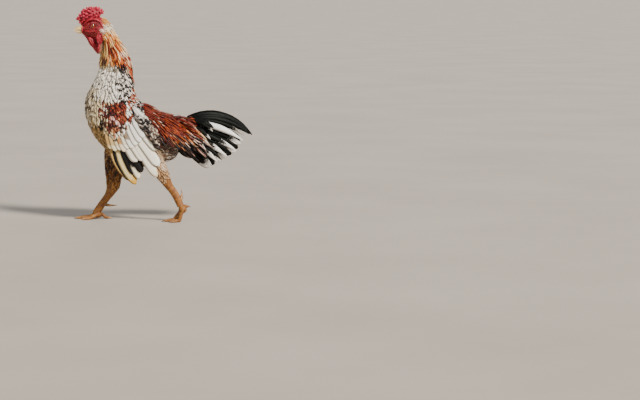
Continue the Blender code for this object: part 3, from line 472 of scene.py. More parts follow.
head_forms = [shell(skull.net(0, 7, 34, 40)), shell(Form(THROAT_OVALS).net(0, 5, 20, 24))]
cushion = Form(COMB_CUSHION)
head_forms.append(shell(cushion.net(0, 5, 22, 26, -0.6)))
TRIES = 1500
place, angle = luck.uniform(-0.2, 5.2, TRIES), luck.uniform(-122, 122, TRIES)
seat = cushion.at(place, angle, -1.6)
reach = np.linspace(0, 1, 9)[:, None]
for index in scattered(seat, 4.0):
    away = unit(cushion.out(place[index], angle[index]) + 0.45 * unit(seat[index] - COMB_MIDDLE))
    away = unit(away + luck.normal(0, 0.16, 3))
    low = 0.75 if abs(angle[index]) > 92 else 1.0
    path = seat[index] + away * reach * low * luck.uniform(*KNOB_LONG)
    path += luck.normal(0, 0.5, 3) * np.sin(reach * math.pi)
    thick = luck.uniform(*KNOB_THICK) * low * np.array(KNOB_OUTLINE)
    head_forms.append(pipe(path, thick, 14, luck.uniform(0.72, 0.95), (0.0, 1.0, 0.12)))
# A rim of skin runs round the root of the bill.
turn = np.linspace(0, 2 * math.pi, 49)
root = np.stack([-140.2 + 0.8 * np.cos(turn * 2), 6.5 * np.sin(turn), 344.7 + 7.9 * np.cos(turn)], -1)
head_forms.append(pipe(root, 1.15 + 0.25 * np.sin(turn * 7), 12))
for side in (-1, 1):
    eye = np.array([EYE[0], side * EYE[1], EYE[2]])
    # The lids and the folds round them: how far from the eye's middle, how thick, how far out, and
    # from where to where they turn.
    for reach, thick, out, first, last in (
        (1.0, 0.85, 2.9, 0, 2), (1.36, 0.75, 2.3, 0.08, 0.95), (1.72, 0.6, 1.5, 0.3, 0.85),
        (1.38, 0.6, 2.2, 1.1, 1.9), (1.8, 0.65, 1.2, 1.2, 1.85), (2.2, 0.6, 0.3, 1.3, 1.75),
    ):
        turn = np.linspace(first, last, 41) * math.pi
        lids = eye + np.stack([np.cos(turn) * 1.1, turn * 0 + side * out / EYE_SIZE,
                               np.sin(turn) * 0.86], -1) * (EYE_SIZE * np.array([reach, 1, reach]))
        ends = 1 if last == 2 else np.sin(np.linspace(0.08, 0.92, 41) * math.pi)
        radii = thick * (1 + 0.35 * np.maximum(np.sin(turn), 0)) * ends
        head_forms.append(pipe(lids, radii, 12, 1.0, (0.0, 1.0, 0.0)))
    head_forms.append(fold(side, BROW, 30, 1.0, 1.1, 12))
    head_forms.append(ball((-110.0, side * 13.0, 329.4), (5.4, 2.3, 10.4), 4.0))
    rim = np.linspace(0.1, 1.9, 30) * math.pi
    edge = np.stack([-110.0 + np.sin(rim) * 4.6, rim * 0 + side * 14.6, 329.2 + np.cos(rim) * 9.4], -1)
    head_forms.append(pipe(edge, 0.95 + 0.25 * np.sin(rim * 3), 10, 1.0, (0.0, 1.0, 0.0)))
    head_forms.append(ball((-124.0, side * 6.6, 321.2), (5.4, 2.1, 11.2), 33.0, side * 4))
    for k in range(2):
        wrinkle = [(-129.6 + 4.4 * k, 8.0, 328.0 - k), (-125.6 + 4.4 * k, 8.9, 321.5 - k),
                   (-120.6 + 3.6 * k, 8.0, 314.5)]
        head_forms.append(fold(side, wrinkle, 14, 0.3, 0.5, 8))
    head_forms.append(fold(side, CHEEK, 24, 0.6, 0.9, 10))
head = grown("head", head_forms, HEAD_GRAIN)
points, edges, _ = measured(head.data)
points = eased(points, edges, 3)
# Inside the opening of the lids the skin sinks behind the front of the eye.
opening = ((points[:, 0] - EYE[0]) / EYE_OPENING[0]) ** 2 + ((points[:, 2] - EYE[2]) / EYE_OPENING[1]) ** 2
sunk = np.clip((1.15 - opening) / 0.3, 0, 1) * (np.abs(points[:, 1]) > EYE[1])
points[:, 1] -= np.sign(points[:, 1]) * (np.abs(points[:, 1]) - EYE[1]) * sunk
write_points(head.data, points)
outward = measured(head.data)[2]
pebble = np.array([1.6 * noise.noise(Vector(p * 0.3)) + noise.noise(Vector(p * 0.8))
                   + noise.noise(Vector(p * 1.9)) for p in points])
bare = np.clip((-100.0 - points[:, 0]) / 6.0, 0, 1)
write_points(head.data, points + outward * (PEBBLE_HEIGHT * pebble * bare)[:, None])

join = body.modifiers.new("join", "BOOLEAN")
join.operation = "UNION"
join.solver = "MANIFOLD"
join.object = head
skin = applied(body)
skin.name = "skin"
bpy.data.objects.remove(head, do_unlink=True)
skin.data.materials.clear()
skin.data.shade_smooth()
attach(skin, "root")
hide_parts("torso", "neck", "head", "comb", "wattle_left", "wattle_right", "earlobe_left",
            "earlobe_right", "thigh_left", "thigh_right")


# The skin is coloured by where it lies: deep red on comb, face and throat, darker in its hollows as painted
# shade and pinker on its ridges and the top of the comb as painted highlights, darker round the eye, partly
# its own skin and partly painted shade of the socket, paler at the ear, and dull flesh marked like the coat
# where feathers cover it.
def paint(mesh, name, colours):
    """Stores a colour for every point of a mesh."""
    kept = mesh.attributes.new(name, "FLOAT_COLOR", "POINT")
    kept.data.foreach_set("color", np.ascontiguousarray(colours, dtype=np.float32).ravel())


def shades(codes):
    """Colours written as hexadecimal digits, as rows of linear light."""
    return np.array([tint(code)[:3] for code in codes])


def mixed(colours, code, amount):
    """Colours drawn towards one more by amounts from 0 to 1."""
    return colours + (shades([code]) - colours) * np.reshape(amount, (-1, 1))


def near(points, x, z, reach_x, reach_z):
    """How near points are to a spot in the side view, from 1 at its middle down to 0."""
    return np.exp(-((points[..., 0] - x) / reach_x) ** 2 - ((points[..., 2] - z) / reach_z) ** 2)


# The plumage in patches, each a spot in the side view and how far it spreads: the main colour
# of its feathers, the colour of their tips, how often a tip is marked, and the marks' colour.
PATCHES = [
    (-104, 256, 18, 15, "efe6d4", "fbf5ea", 0.06, "3a2a22"),
    (-108, 284, 9, 14, "c4ab7c", "e2d2ac", 0.15, "6a4828"),
    (-84, 258, 14, 12, "ebe2d6", "f8f2ea", 0.25, "241a17"),
    (-66, 246, 12, 14, "ddd4c8", "f6f2ea", 0.60, "191210"),
    (-66, 269, 14, 6, "4a403c", "d8d0c8", 0.55, "120e0c"),
    (-88, 270, 9, 5, "a89880", "e0d4c0", 0.45, "2a1e18"),
    (-104, 196, 6, 12, "5a1a10", "b07050", 0.35, "efe0d0"),
    # Tan on the breast's front edge: partly the feathers' own buff, partly painted shade where the breast
    # turns from the light.
    (-128, 232, 8, 12, "b8a684", "ded0b2", 0.45, "3c2e24"),
    (-92, 236, 16, 10, "ece4d8", "faf5ee", 0.30, "241a17"),
    (-114, 232, 14, 14, "e6dbc6", "f6efe2", 0.16, "3c2c22"),
    # This and the next row: tan down the breast's front edge, partly the feathers' own buff, partly painted
    # shade where the breast turns from the light.
    (-132, 212, 9, 28, "cdb999", "e6dac2", 0.42, "3e2e22"),
    (-116, 192, 12, 20, "ccb68e", "e0d0aa", 0.22, "3b2a1e"),
    (-109, 170, 3, 6, "241b17", "4a3e36", 0.30, "120e0c"),
    # This and the next row: ochre on the lower breast and belly, partly the feathers' own buff, partly
    # painted shade under the breast.
    (-106, 150, 22, 20, "b08a50", "d0b07a", 0.12, "4e3018"),
    (-70, 122, 26, 18, "a5824e", "c9ac78", 0.16, "4a2d1a"),
    (-24, 118, 24, 18, "6f5440", "a78a66", 0.30, "2a1b14"),
    (8, 128, 18, 16, "5a4335", "9a8068", 0.20, "241712"),
    (34, 134, 16, 16, "5c4a40", "b8aca0", 0.15, "2c201a"),
    (18, 116, 14, 12, "84705e", "d8cfc4", 0.12, "2c201a"),
    (-36, 204, 9, 20, "cfc8c0", "f2ede6", 0.70, "120e0d"),
    (-46, 214, 6, 14, "8c3c20", "d8a488", 0.40, "efe8de"),
    (-14, 196, 14, 10, "8c2c0e", "b85a26", 0.15, "5a160c"),
    (-10, 168, 26, 16, "6a200e", "a04a20", 0.22, "32100b"),
    (20, 172, 20, 16, "8a2e0e", "c0642a", 0.15, "4a140b"),
]


def worn(patches, points, luck):
    """The main colour, the tip colour and the start of the tip of feathers at points. Each wears
    one of the patches that are near it in the side view, by chance and by nearness."""
    x, z = points[:, 0], points[:, 2]
    patch_x, patch_z, reach_x, reach_z, main, tips, chance, marks = zip(*patches)
    apart_x = (x[:, None] - patch_x) / reach_x
    apart_z = (z[:, None] - patch_z) / reach_z
    share = np.cumsum(np.exp(-apart_x ** 2 - apart_z ** 2) + 1e-9, axis=1)
    pick = (share < luck.random(len(x))[:, None] * share[:, -1:]).sum(1)
    pick = np.minimum(pick, len(patches) - 1)
    main, tips, marks = (shades(codes)[pick] for codes in (main, tips, marks))
    chance = np.array(chance)[pick]
    crowd = np.array([noise.noise(Vector((a * 0.09, 3.0, b * 0.09))) for a, b in zip(x, z)])
    marked = luck.random(len(x)) < chance * np.clip(1 + 2.4 * crowd, 0.1, 2.2)
    tips = np.where(marked[:, None], marks, tips)
    main = main * luck.normal(1.0, 0.09, (len(x), 1)).clip(0.7, 1.25)
    early = luck.uniform(0.9, 1.0, len(x)) - 0.5 * chance
    return main, tips, np.where(marked, early, luck.uniform(0.7, 0.95, len(x)))


points, edges, outward = measured(skin.data)
ridge = np.sum((points - eased(points, edges, 10, 0.6)) * outward, 1)
ridge = np.clip(eased(ridge[:, None], edges, 2)[:, 0] / 0.3, -1, 1)
top_x, top_z, low_x, low_z, _ = TRUNK_OVALS[-1]
behind_nape = (points[:, 0] - top_x) * (top_z - low_z) - (points[:, 2] - top_z) * (top_x - low_x)
bare = np.clip(-behind_nape / 60.0, 0, 1)
throat = np.clip(near(points, -122, 316, 12, 18) * 2.4, 0, 1)
throat *= (np.abs(points[:, 1]) < 9.5) * (points[:, 2] > 300)
bare = np.maximum(bare * (points[:, 2] > 318), np.maximum(throat, near(points, -110, 329, 6, 11) > 0.35))
red, deep, ridge_highlight = shades(("7e030e", "280005", "c4283e"))
# Hollows are painted darker as painted shade, and ridges pinker as a painted highlight.
flesh = red + (deep - red) * np.clip(-ridge, 0, 1)[:, None]
flesh = flesh + (ridge_highlight - red) * np.clip(ridge, 0, 1)[:, None] * 0.75
blotch = np.array([noise.noise(Vector(p * 0.22)) + 0.6 * noise.noise(Vector(p * 0.55)) for p in points])
# The top of the comb, most of all its ridges, is painted pinker as a painted highlight.
crown_highlight = np.clip((points[:, 2] - 360.0) / 6.0, 0, 1) * (0.25 + 0.75 * np.clip(ridge, 0, 1))
for code, amount in (
    ("e0a49c", np.clip(near(points, -104.0, 342.5, 3.6, 3.2) * 1.3, 0, 1)),
    # A dark oval round the eye: partly darker skin, partly painted shade of the sunken socket.
    ("3c0a08", near(points, EYE[0] + 1.0, EYE[2] + 1.0, 11.0, 6.5) * 0.8),
    ("5a0210", np.clip(blotch * 1.6, 0, 1) * 0.7),
    ("dc4a5c", np.clip(-blotch * 1.4 - 0.2, 0, 1) * 0.6),
    ("ee4468", crown_highlight * 0.55),
):
    flesh = mixed(flesh, code, amount)
under, _, _ = worn(PATCHES, points, np.random.default_rng(3))
under = eased(under, edges, 6) * 0.55 + shades(["7a4a3c"]) * 0.25
paint(skin.data, "flesh", np.concatenate([under + (flesh - under) * bare[:, None], bare[:, None]], 1))

living, wire, sockets = finish("living_skin", {
    "Subsurface Weight": 0.18, "Subsurface Radius": (0.004, 0.0012, 0.0008), "Subsurface Scale": 1.0,
    "Specular IOR Level": 0.34})
place = wire.place()
pores = wire.node("TexVoronoi", {"feature": "F1"}, {"Vector": place, "Scale": 1150.0})
mottle = place.cloudy(260.0, 4.0, 0.6)
veins = place.cloudy(900.0, 3.0)
shade = 0.72 + mottle.step(0.25, 0.75) * 0.5 - pores.step(0.45, 0.0) * 0.12
wire.feed(sockets["Base Color"], wire.stored("flesh").lit(shade))
wire.feed(sockets["Roughness"], 0.34 + mottle * 0.22 + pores * 0.12)
wire.feed(sockets["Normal"], (pores * -0.6 + veins * 0.5 + mottle * 0.5).bump(0.5, 0.0004))
skin.data.materials.append(living)


# The eye is a wet ball with a black pupil, an orange iris darker at its rim and a brown ring
# under the lids. It sits in the opening of the lids and shines with a clear wet coat.
def settled(obj, material, slot, *nodes):
    """Gives an object its finish, its place on the bird and the solids it replaces. The slot is not used."""
    obj.data.materials.append(material)
    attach(obj, "root")
    if nodes:
        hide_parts(*nodes)


# Where pupil, iris and its dark rim end, each over a short way, in millimetres from the middle.
PUPIL_EDGE, IRIS_EDGE, RIM_EDGE = (1.62, 1.82), (2.5, 3.2), (3.3, 3.9)
glance, wire, sockets = finish("wet_eye", {"Coat Weight": 1.0, "Coat Roughness": 0.02})
place = wire.place()
middle = {0: place, 1: (EYE[0] * MM, 0.0, EYE[2] * MM)}
offset = wire.node("VectorMath", {"operation": "SUBTRACT"}, middle).stretched(1.0, 0.0, 1.0)
ring = wire.node("VectorMath", {"operation": "LENGTH"}, {0: offset}, 1) * 1000.0
streaks = place.stretched(1.0, 0.1, 1.0).cloudy(2200.0, 2.0)
iris = streaks.step(0.3, 0.7).blend(tint("8a2c08"), tint("c8621a"))
iris = ring.step(*IRIS_EDGE).blend(iris, tint("551a0c"))
iris = ring.step(*RIM_EDGE).blend(iris, tint("2a1410"))
wire.feed(sockets["Base Color"], ring.step(*PUPIL_EDGE).blend(tint("050404"), iris))
wire.feed(sockets["Roughness"], 0.06 + streaks * 0.05)
for side, word in ((-1, "left"), (1, "right")):
    form = ball((EYE[0], side * EYE[1], EYE[2]), (EYE_SIZE, EYE_SIZE, EYE_SIZE), rings=40, sides=56)
    settled(solid("eyeball_" + word, *form), glance, "eye", "eye_" + word)


# The bill is short, blunt horn in two halves: the upper with a ridge along its top, a point bent
# down and a nostril under a small flap on each side, the lower a scoop that fits under it.
UPPER_BILL = [
    (-139.7, 352.0, -140.0, 343.2, 6.3), (-139.9, 351.8, -140.2, 343.2, 6.1),
    (-145.0, 351.2, -144.0, 342.7, 5.2), (-150.5, 348.9, -148.5, 342.2, 3.8),
    (-154.8, 345.6, -152.5, 341.3, 2.3), (-157.1, 340.9, -156.0, 340.5, 0.8),
]
LOWER_BILL = [
    (-140.2, 342.9, -140.3, 337.2, 5.4), (-144.0, 342.5, -144.2, 336.9, 4.6),
    (-148.5, 342.0, -148.3, 337.6, 3.2), (-152.4, 341.1, -152.0, 338.9, 1.6),
]
horn, wire, sockets = finish("bill_horn", {
    "Coat Weight": 0.25, "Subsurface Weight": 0.08, "Subsurface Radius": (0.002, 0.001, 0.0005)})
place = wire.place()
forward = wire.node("SeparateXYZ", None, {0: place}) * -1000.0
grain = place.stretched(90.0, 700.0, 700.0).cloudy(1.0, 4.0)
cloud = place.cloudy(160.0, 3.0)
colour = cloud.step(0.3, 0.7).blend(tint("d8ae6c"), tint("ecd098"))
colour = (forward + cloud * 2.0).step(144.5, 139.8).blend(colour, tint("a8743c"))
colour = (forward + cloud * 3.0).step(154.0, 158.5).blend(colour, tint("f3e6c6"))
colour = (grain.step(0.5, 0.8) * 0.35).blend(colour, tint("8a5a2c"))
wire.feed(sockets["Base Color"], colour)
wire.feed(sockets["Roughness"], 0.26 + grain * 0.2)
wire.feed(sockets["Normal"], grain.bump(0.25, 0.0003))


def squared(cosine, sine):
    """Widens the flat side of a half of the bill, so that it meets the other half at its edge."""
    return np.clip(cosine * 3, 0, 1) * (np.abs(sine).clip(0.05) ** -0.62 - 1)


net = Form(UPPER_BILL).net(0, 5, 46, 48)
angle = np.radians(np.arange(48) * 7.5)[None, :]
keel = np.clip(np.cos(angle), 0, 1) ** 3
net[..., 1] *= 1 - 0.22 * keel + squared(-np.cos(angle), np.sin(angle))
nostril = near(net, -143.2, 347.2, 1.5, 0.62)
flap = near(net, -143.4, 348.5, 2.0, 0.8)
net[..., 1] += np.sign(net[..., 1]) * (0.35 * flap - 1.9 * nostril)
edge = np.exp(-((net[..., 2] - 343.0 + (net[..., 0] + 140) * -0.12) / 0.5) ** 2)
net[..., 1] += np.sign(net[..., 1]) * 0.22 * edge
settled(solid("upper_bill", *shell(net)), horn, "horn", "bill_upper")
net = Form(LOWER_BILL).net(0, 3, 30, 40)
angle = np.radians(np.arange(40) * 9.0)[None, :]
net[..., 1] *= 0.97 + squared(np.cos(angle), np.sin(angle))
settled(solid("lower_bill", *shell(net)), horn, "horn", "bill_lower")


# Each shank is covered in horny scales: wide plates that overlap down the front, and small
# ones behind. The toes have a row of narrow plates on top and soft round pads underneath.
SHANK_OVALS = {
    1: [(-101.7, 57.6, -79.0, 56.6, 7.4), (-105.1, 46.4, -88.6, 43.7, 5.6),
        (-110.5, 38.3, -96.6, 34.7, 4.8), (-117.7, 28.4, -104.0, 24.8, 4.8),
        (-124.0, 19.4, -110.0, 15.8, 5.4), (-127.5, 13.1, -114.5, 9.0, 6.0)],
    -1: [(-4.7, 72.1, 12.4, 82.9, 7.2), (3.8, 61.9, 16.8, 69.6, 5.6),
         (11.0, 53.6, 23.6, 58.6, 4.8), (17.3, 43.7, 30.4, 47.6, 4.8),
         (22.7, 32.9, 35.3, 35.7, 5.4), (25.8, 26.2, 38.2, 27.8, 6.0)],
}
# A pad is its middle, its half sizes and its lean. A toe is its heading in degrees from straight
# ahead, its length and the length of its claw. A spur is its root, its bend and its tip.
PAD = {1: (-119.5, 8.2, 9.5, 8.5, 6.6, 0.0), -1: (35.0, 22.5, 7.2, 8.5, 7.6, -62.0)}
PAD_FLOOR = 1.8
SPURS = {1: ((-106.0, 26.5), (-96.0, 23.6), (-82.5, 25.4)), -1: ((31.5, 40.0), (35.5, 46.5), (33.0, 58.0))}
TOES = {
    "inner": (-31.0, 19.5, 7.2), "middle": (-2.0, 27.0, 8.2),
    "outer": (27.0, 21.5, 7.2), "hind": (187.0, 12.0, 8.0),
}
TOE_WIDE, TOE_NARROW, SOLE = 3.7, 2.3, 0.55
RAISED_HIND_CLAW, NEAR_FLOOR = 4.8, 6.0


def arc(a, b, c, t):
    """The point at t on the arc from a to c that leans towards b."""
    return (1 - t) ** 2 * np.asarray(a) + 2 * t * (1 - t) * np.asarray(b) + t * t * np.asarray(c)


def toe_line(side, toe, heading, reach):
    """The middle line of a toe, from inside the pad to the root of its claw."""
    turn = math.radians(heading)
    ahead = np.array([-math.cos(turn), side * math.sin(turn), 0.0])
    spread = {"inner": -4.6, "outer": 4.6}.get(toe, 0.0)
    start = np.array([PAD[side][0], side * (FOOT + spread), PAD[side][1]])
    low = TOE_WIDE - SOLE
    thirds = np.arange(1, 4) / 3
    heights = TOE_WIDE + (TOE_NARROW - TOE_WIDE) * thirds - SOLE

    def run(root, steps, levels):
        return [np.array([*(root + ahead * step)[:2], level]) for step, level in zip(steps, levels)]

    if toe == "hind" and side == 1:
        levels = (start[2] + 1.0, start[2] + 0.2, low + 0.2, heights[2])
        return run(start, (3, 9, 9 + reach * 0.5, 9 + reach), levels)
    if toe == "hind":
        back = np.array([0.96, -side * 0.2, 0.0])
        return [start + back * r + np.array([0, 0, h]) for r, h in ((1, 4), (4, 5.5), (7, 5.5), (10, 4.5))]
    if side == 1:
        return run(start, (1, 8, *(8 + reach * thirds)), (start[2], low + 2.4, *heights))
    drop = {"inner": 20.0, "middle": 24.5, "outer": 28.5}[toe]
    bend = np.array([drop, start[1] + side * spread * 0.35, 4.0])
    return [start, (start + bend) / 2, *run(bend, (0, *((reach - 7) * thirds)), (low + 0.3, *heights))]


def plated(count, t):
    """The outline of overlapping plates, from 0 at a plate's root to 1 at its free edge."""
    return (t * count) % 1.0


def plates(turn, t, count, wave, low):
    """How far a limb faces forward at angles and shares along it, how high the plates across its
    front stand, and both of these with the share and the bareness of its sides as one colour."""
    facing = np.clip((np.cos(turn) - low) / (0.5 - low), 0, 1) + t * 0
    step = plated(count, t + wave * np.sin(turn) ** 2)
    height = np.where(step > 0.9, (1 - step) * 10, step ** 0.7)
    # This also sets how dark the finish paints each spot: painted shade, darkest at a front plate's root
    # under the free edge of the plate above.
    raised = np.where(facing > 0.3, 0.25 + 0.75 * height, 0.85)
    return facing, height, np.stack([raised, 1 - facing, t + facing * 0, facing], -1)


scales, wire, sockets = finish("leg_scales", {"Subsurface Weight": 0.05})
relief = wire.stored("relief")
raised = wire.node("SeparateColor", None, {0: relief})
place = wire.place()
cells = wire.node("TexVoronoi", {"feature": "DISTANCE_TO_EDGE"}, {"Vector": place, "Scale": 620.0})
cloud = place.cloudy(240.0, 4.0)
grit = place.cloudy(1500.0, 3.0)
colour = cloud.step(0.3, 0.7).blend(tint("7c480a"), tint("b27618"))
# Darker where the plates are low: painted shade at each front plate's root, under the free edge of the plate
# above.
colour = (raised * 0.85 + 0.05).blend(tint("3a1c0a"), colour)
colour = (cells.step(0.16, 0.02) * raised.other(1) * 0.7).blend(colour, tint("6e3a1c"))
colour = (grit.step(0.58, 0.75) * 0.3).blend(colour, tint("d89c4c"))
wire.feed(sockets["Base Color"], colour)
wire.feed(sockets["Roughness"], 0.38 + cloud * 0.25)
wire.feed(sockets["Normal"], (cells.step(0.0, 0.12) * raised.other(1) * 0.8 + grit * 0.3).bump(0.5, 0.0005))

claw_horn, wire, sockets = finish("claw_horn", {"Coat Weight": 0.15})
place = wire.place()
grain = place.cloudy(900.0, 5.0)
cloud = place.cloudy(260.0, 2.0)
colour = cloud.step(0.35, 0.7).blend(tint("6b4422"), tint("b98b54"))
wire.feed(sockets["Base Color"], (grain.step(0.45, 0.75) * 0.5).blend(colour, tint("3a2414")))
wire.feed(sockets["Roughness"], 0.3 + grain * 0.25)
wire.feed(sockets["Normal"], grain.bump(0.3, 0.0003))


def limb(path, radii, front, count, rise, sides=36):
    """The rings of a scaled toe and its relief: plates across the front, cells elsewhere."""
    path = np.asarray(path, float)
    ahead = unit(np.gradient(path, axis=0))
    front = unit(np.broadcast_to(front, path.shape) - ahead * np.sum(ahead * front, -1, keepdims=True))
    across = np.cross(ahead, front)
    turn = np.radians(np.arange(sides) * 360.0 / sides)[None, :]
    facing, height, relief = plates(turn, np.linspace(0, 1, len(path))[:, None], count, 0.012, 0.15)
    radii = np.asarray(radii, float).reshape(len(path), -1) + rise * (height - 0.6) * facing
    around = np.cos(turn)[..., None] * front[:, None] + np.sin(turn)[..., None] * across[:, None]
    net = path[:, None] + radii[..., None] * around
    net[..., 2] = np.maximum(net[..., 2], 0.0)
    return net, relief


for side, word in ((1, "right"), (-1, "left")):
    ovals = Form(SHANK_OVALS[side], [side * (HOCK + (FOOT - HOCK) * k / 5) for k in range(6)])
    place = np.linspace(0, 5, 130)[:, None]
    angle = (np.arange(44) * 360.0 / 44)[None, :]
    turn = np.radians(angle)
    facing, height, relief = plates(turn, place / 5, 11, 0.01, 0.1)
    behind = np.clip((-np.cos(turn) - 0.3) / 0.3, 0, 1)
    cells = plated(17, place / 5 + 0.03 * np.sign(np.sin(turn)))
    rise = 0.55 * (height - 0.6) * facing + 0.25 * (cells - 0.5) * behind
    net = ovals.at(place, angle) + ovals.out(place, angle) * rise[..., None]
    made, marks = [shell(net)], [relief.reshape(-1, 4), np.full((2, 4), 0.8)]
    x, z, long, wide, tall, lean = PAD[side]
    points, faces = ball((x, side * FOOT, z), (long, wide, tall), lean)
    points[:, 2] = np.maximum(points[:, 2], PAD_FLOOR)
    made.append((points, faces))
    marks.append(np.tile((0.8, 1.0, 0.5, 0.0), (len(points), 1)))
    claws = []
    for toe, (heading, reach, claw) in TOES.items():
        claw = RAISED_HIND_CLAW if toe == "hind" and side == -1 else claw
        keys = toe_line(side, toe, heading, reach)
        t = np.linspace(0, 1, 64)
        line = spline(np.array(keys), t * (len(keys) - 1))
        thick = (TOE_WIDE + (TOE_NARROW - TOE_WIDE) * t) * (1 + 0.07 * np.cos(t * 2 * math.pi * 3))
        thick *= 0.95 if toe == "hind" else 1.1
        lies_flat = abs(line[-1][2] - line[-9][2]) < NEAR_FLOOR
        front = (0.0, 0.0, 1.0) if lies_flat else (1.0, 0.0, 0.3)
        net, relief = limb(line, thick[:, None], front, 13 if toe == "middle" else 10, 0.42)
        made.append(shell(net))
        marks += [relief.reshape(-1, 4), np.full((2, 4), 0.8)]
        tip, ahead = line[-1], unit(line[-1] - line[-4])
        level = unit(ahead * np.array([1, 1, 0]))
        share = np.linspace(0, 1, 18)
        rise = 2.2 * np.sin(share * math.pi * 0.62) * 0.7
        thin = TOE_NARROW * (0.84 - 0.72 * share)
        path = tip - ahead * 0.6 + level * (claw * share)[:, None]
        if tip[2] < NEAR_FLOOR:
            resting = (tip[2] + rise) * (1 - share) + thin * share
            path[:, 2] = np.maximum(thin * 1.12 + 0.05, resting)
        else:
            path[:, 2] += rise - 3.5 * share ** 2
        claws.append((toe, pipe(path, thin, 20, 1.12)))
    foot = solid("scaled_leg_" + word, *gathered(made))
    paint(foot.data, "relief", np.concatenate(marks))
    toes = [f"toe_{word}_{toe}" for toe in TOES]
    settled(foot, scales, "leg_scale", "shank_" + word, *toes)
    for toe, form in claws:
        settled(solid(f"horn_claw_{word}_{toe}", *form), claw_horn, "claw_horn", f"claw_{word}_{toe}")
    t = np.linspace(0, 1, 26)[:, None]
    path = arc(*SPURS[side], t)
    middle = side * (HOCK + (FOOT - HOCK) * 0.7)
    path = np.concatenate([path[:, :1], middle - side * (1.5 + 5.0 * t), path[:, 1:]], 1)
    form = pipe(path, 3.3 * (1 - 0.9 * t ** 1.2) * (1 + 0.03 * np.sin(t * 60)), 22)
    settled(solid("horn_spur_" + word, *form), claw_horn, "claw_horn", "spur_" + word)


# The coat: every feather is a thin vane bent along the body, rooted in the skin and lifted at
# its tip over the ones behind it. It keeps its own colour, tip and the place of each barb.
class Coat:
    """Feathers that are gathered into one piece of the coat."""

    def __init__(self):
        self.batches = []
        self.faces = []
        self.count = 0

    def add(self, path, normal, half, colours, size=None, home=None,
            wide=(-1, 0, 1), thick=0.22, camber=0.22, patch=0.003):
        """Adds feathers from their paths and half widths. The colours are the main one, the one
        of the tips and where the tips begin. Home is a feather's place in the bake's picture."""
        count, stations = half.shape
        main, tips, start = colours
        if size is None:
            size = np.linalg.norm(np.diff(path, axis=1), axis=-1).sum(1)
        ahead = unit(np.gradient(path, axis=1))
        across = unit(np.cross(ahead, normal))
        above = np.cross(across, ahead)
        t = np.broadcast_to(np.linspace(0, 1, stations), (count, stations))
        under = [u for u in wide[::-1] if abs(u) < 1]
        rows, marks = [], []
        for u, face in [(u, 0.5) for u in wide] + [(u, -0.5) for u in under]:
            sunk = face * thick * (1 - abs(u)) - camber * u * u * half
            rows.append(path + across * (half * u)[..., None] + above * sunk[..., None])
            marks.append(np.stack([t * 0 + u, t], -1))
        net = np.stack(rows, 2)
        marks = np.stack(marks, 2)
        ring = len(rows)
        seed = np.broadcast_to(luck.random(count)[:, None, None, None], (*marks.shape[:3], 1))
        corner = np.arange(count * stations * ring).reshape(count, stations, ring) + self.count
        a, b = corner[:, :-1], corner[:, 1:]
        self.faces += np.stack([a, np.roll(a, -1, 2), np.roll(b, -1, 2), b], -1).reshape(-1, 4).tolist()
        self.faces += np.concatenate([corner[:, 0, ::-1], corner[:, -1]]).tolist()
        self.count += corner.size
        spread = np.array([patch / 2, patch])
        if home is None:
            home = np.stack([(np.arange(count) + 0.5) / count, np.full(count, 0.02)], 1)
            spread = np.array([0.45 / count, 0.96])
        size = np.broadcast_to(np.asarray(size, float) / 100.0, (count,))
        self.batches.append((
            net.reshape(-1, 3), np.concatenate([marks, seed], -1).reshape(-1, 3),
            np.repeat(np.concatenate([main, size[:, None]], 1), stations * ring, 0),
            np.repeat(np.concatenate([tips, start[:, None]], 1), stations * ring, 0),
            (home[:, None, None] + marks * spread).reshape(-1, 2)))

    def make(self, name, material, slot, *nodes):
        points, vane, tone, tips, spots = (np.concatenate(part) for part in zip(*self.batches))
        made = solid(name, points, self.faces)
        kept = made.data.attributes.new("vane", "FLOAT_VECTOR", "POINT")
        kept.data.foreach_set("vector", vane.astype(np.float32).ravel())
        paint(made.data, "tone", tone)
        paint(made.data, "tips", tips)
        corners = read(made.data.loops, "vertex_index", 1, np.int64)[:, 0]
        layer = made.data.uv_layers.new(name="OFBake")
        layer.data.foreach_set("uv", spots[corners].astype(np.float32).ravel())
        settled(made, material, slot, *nodes)


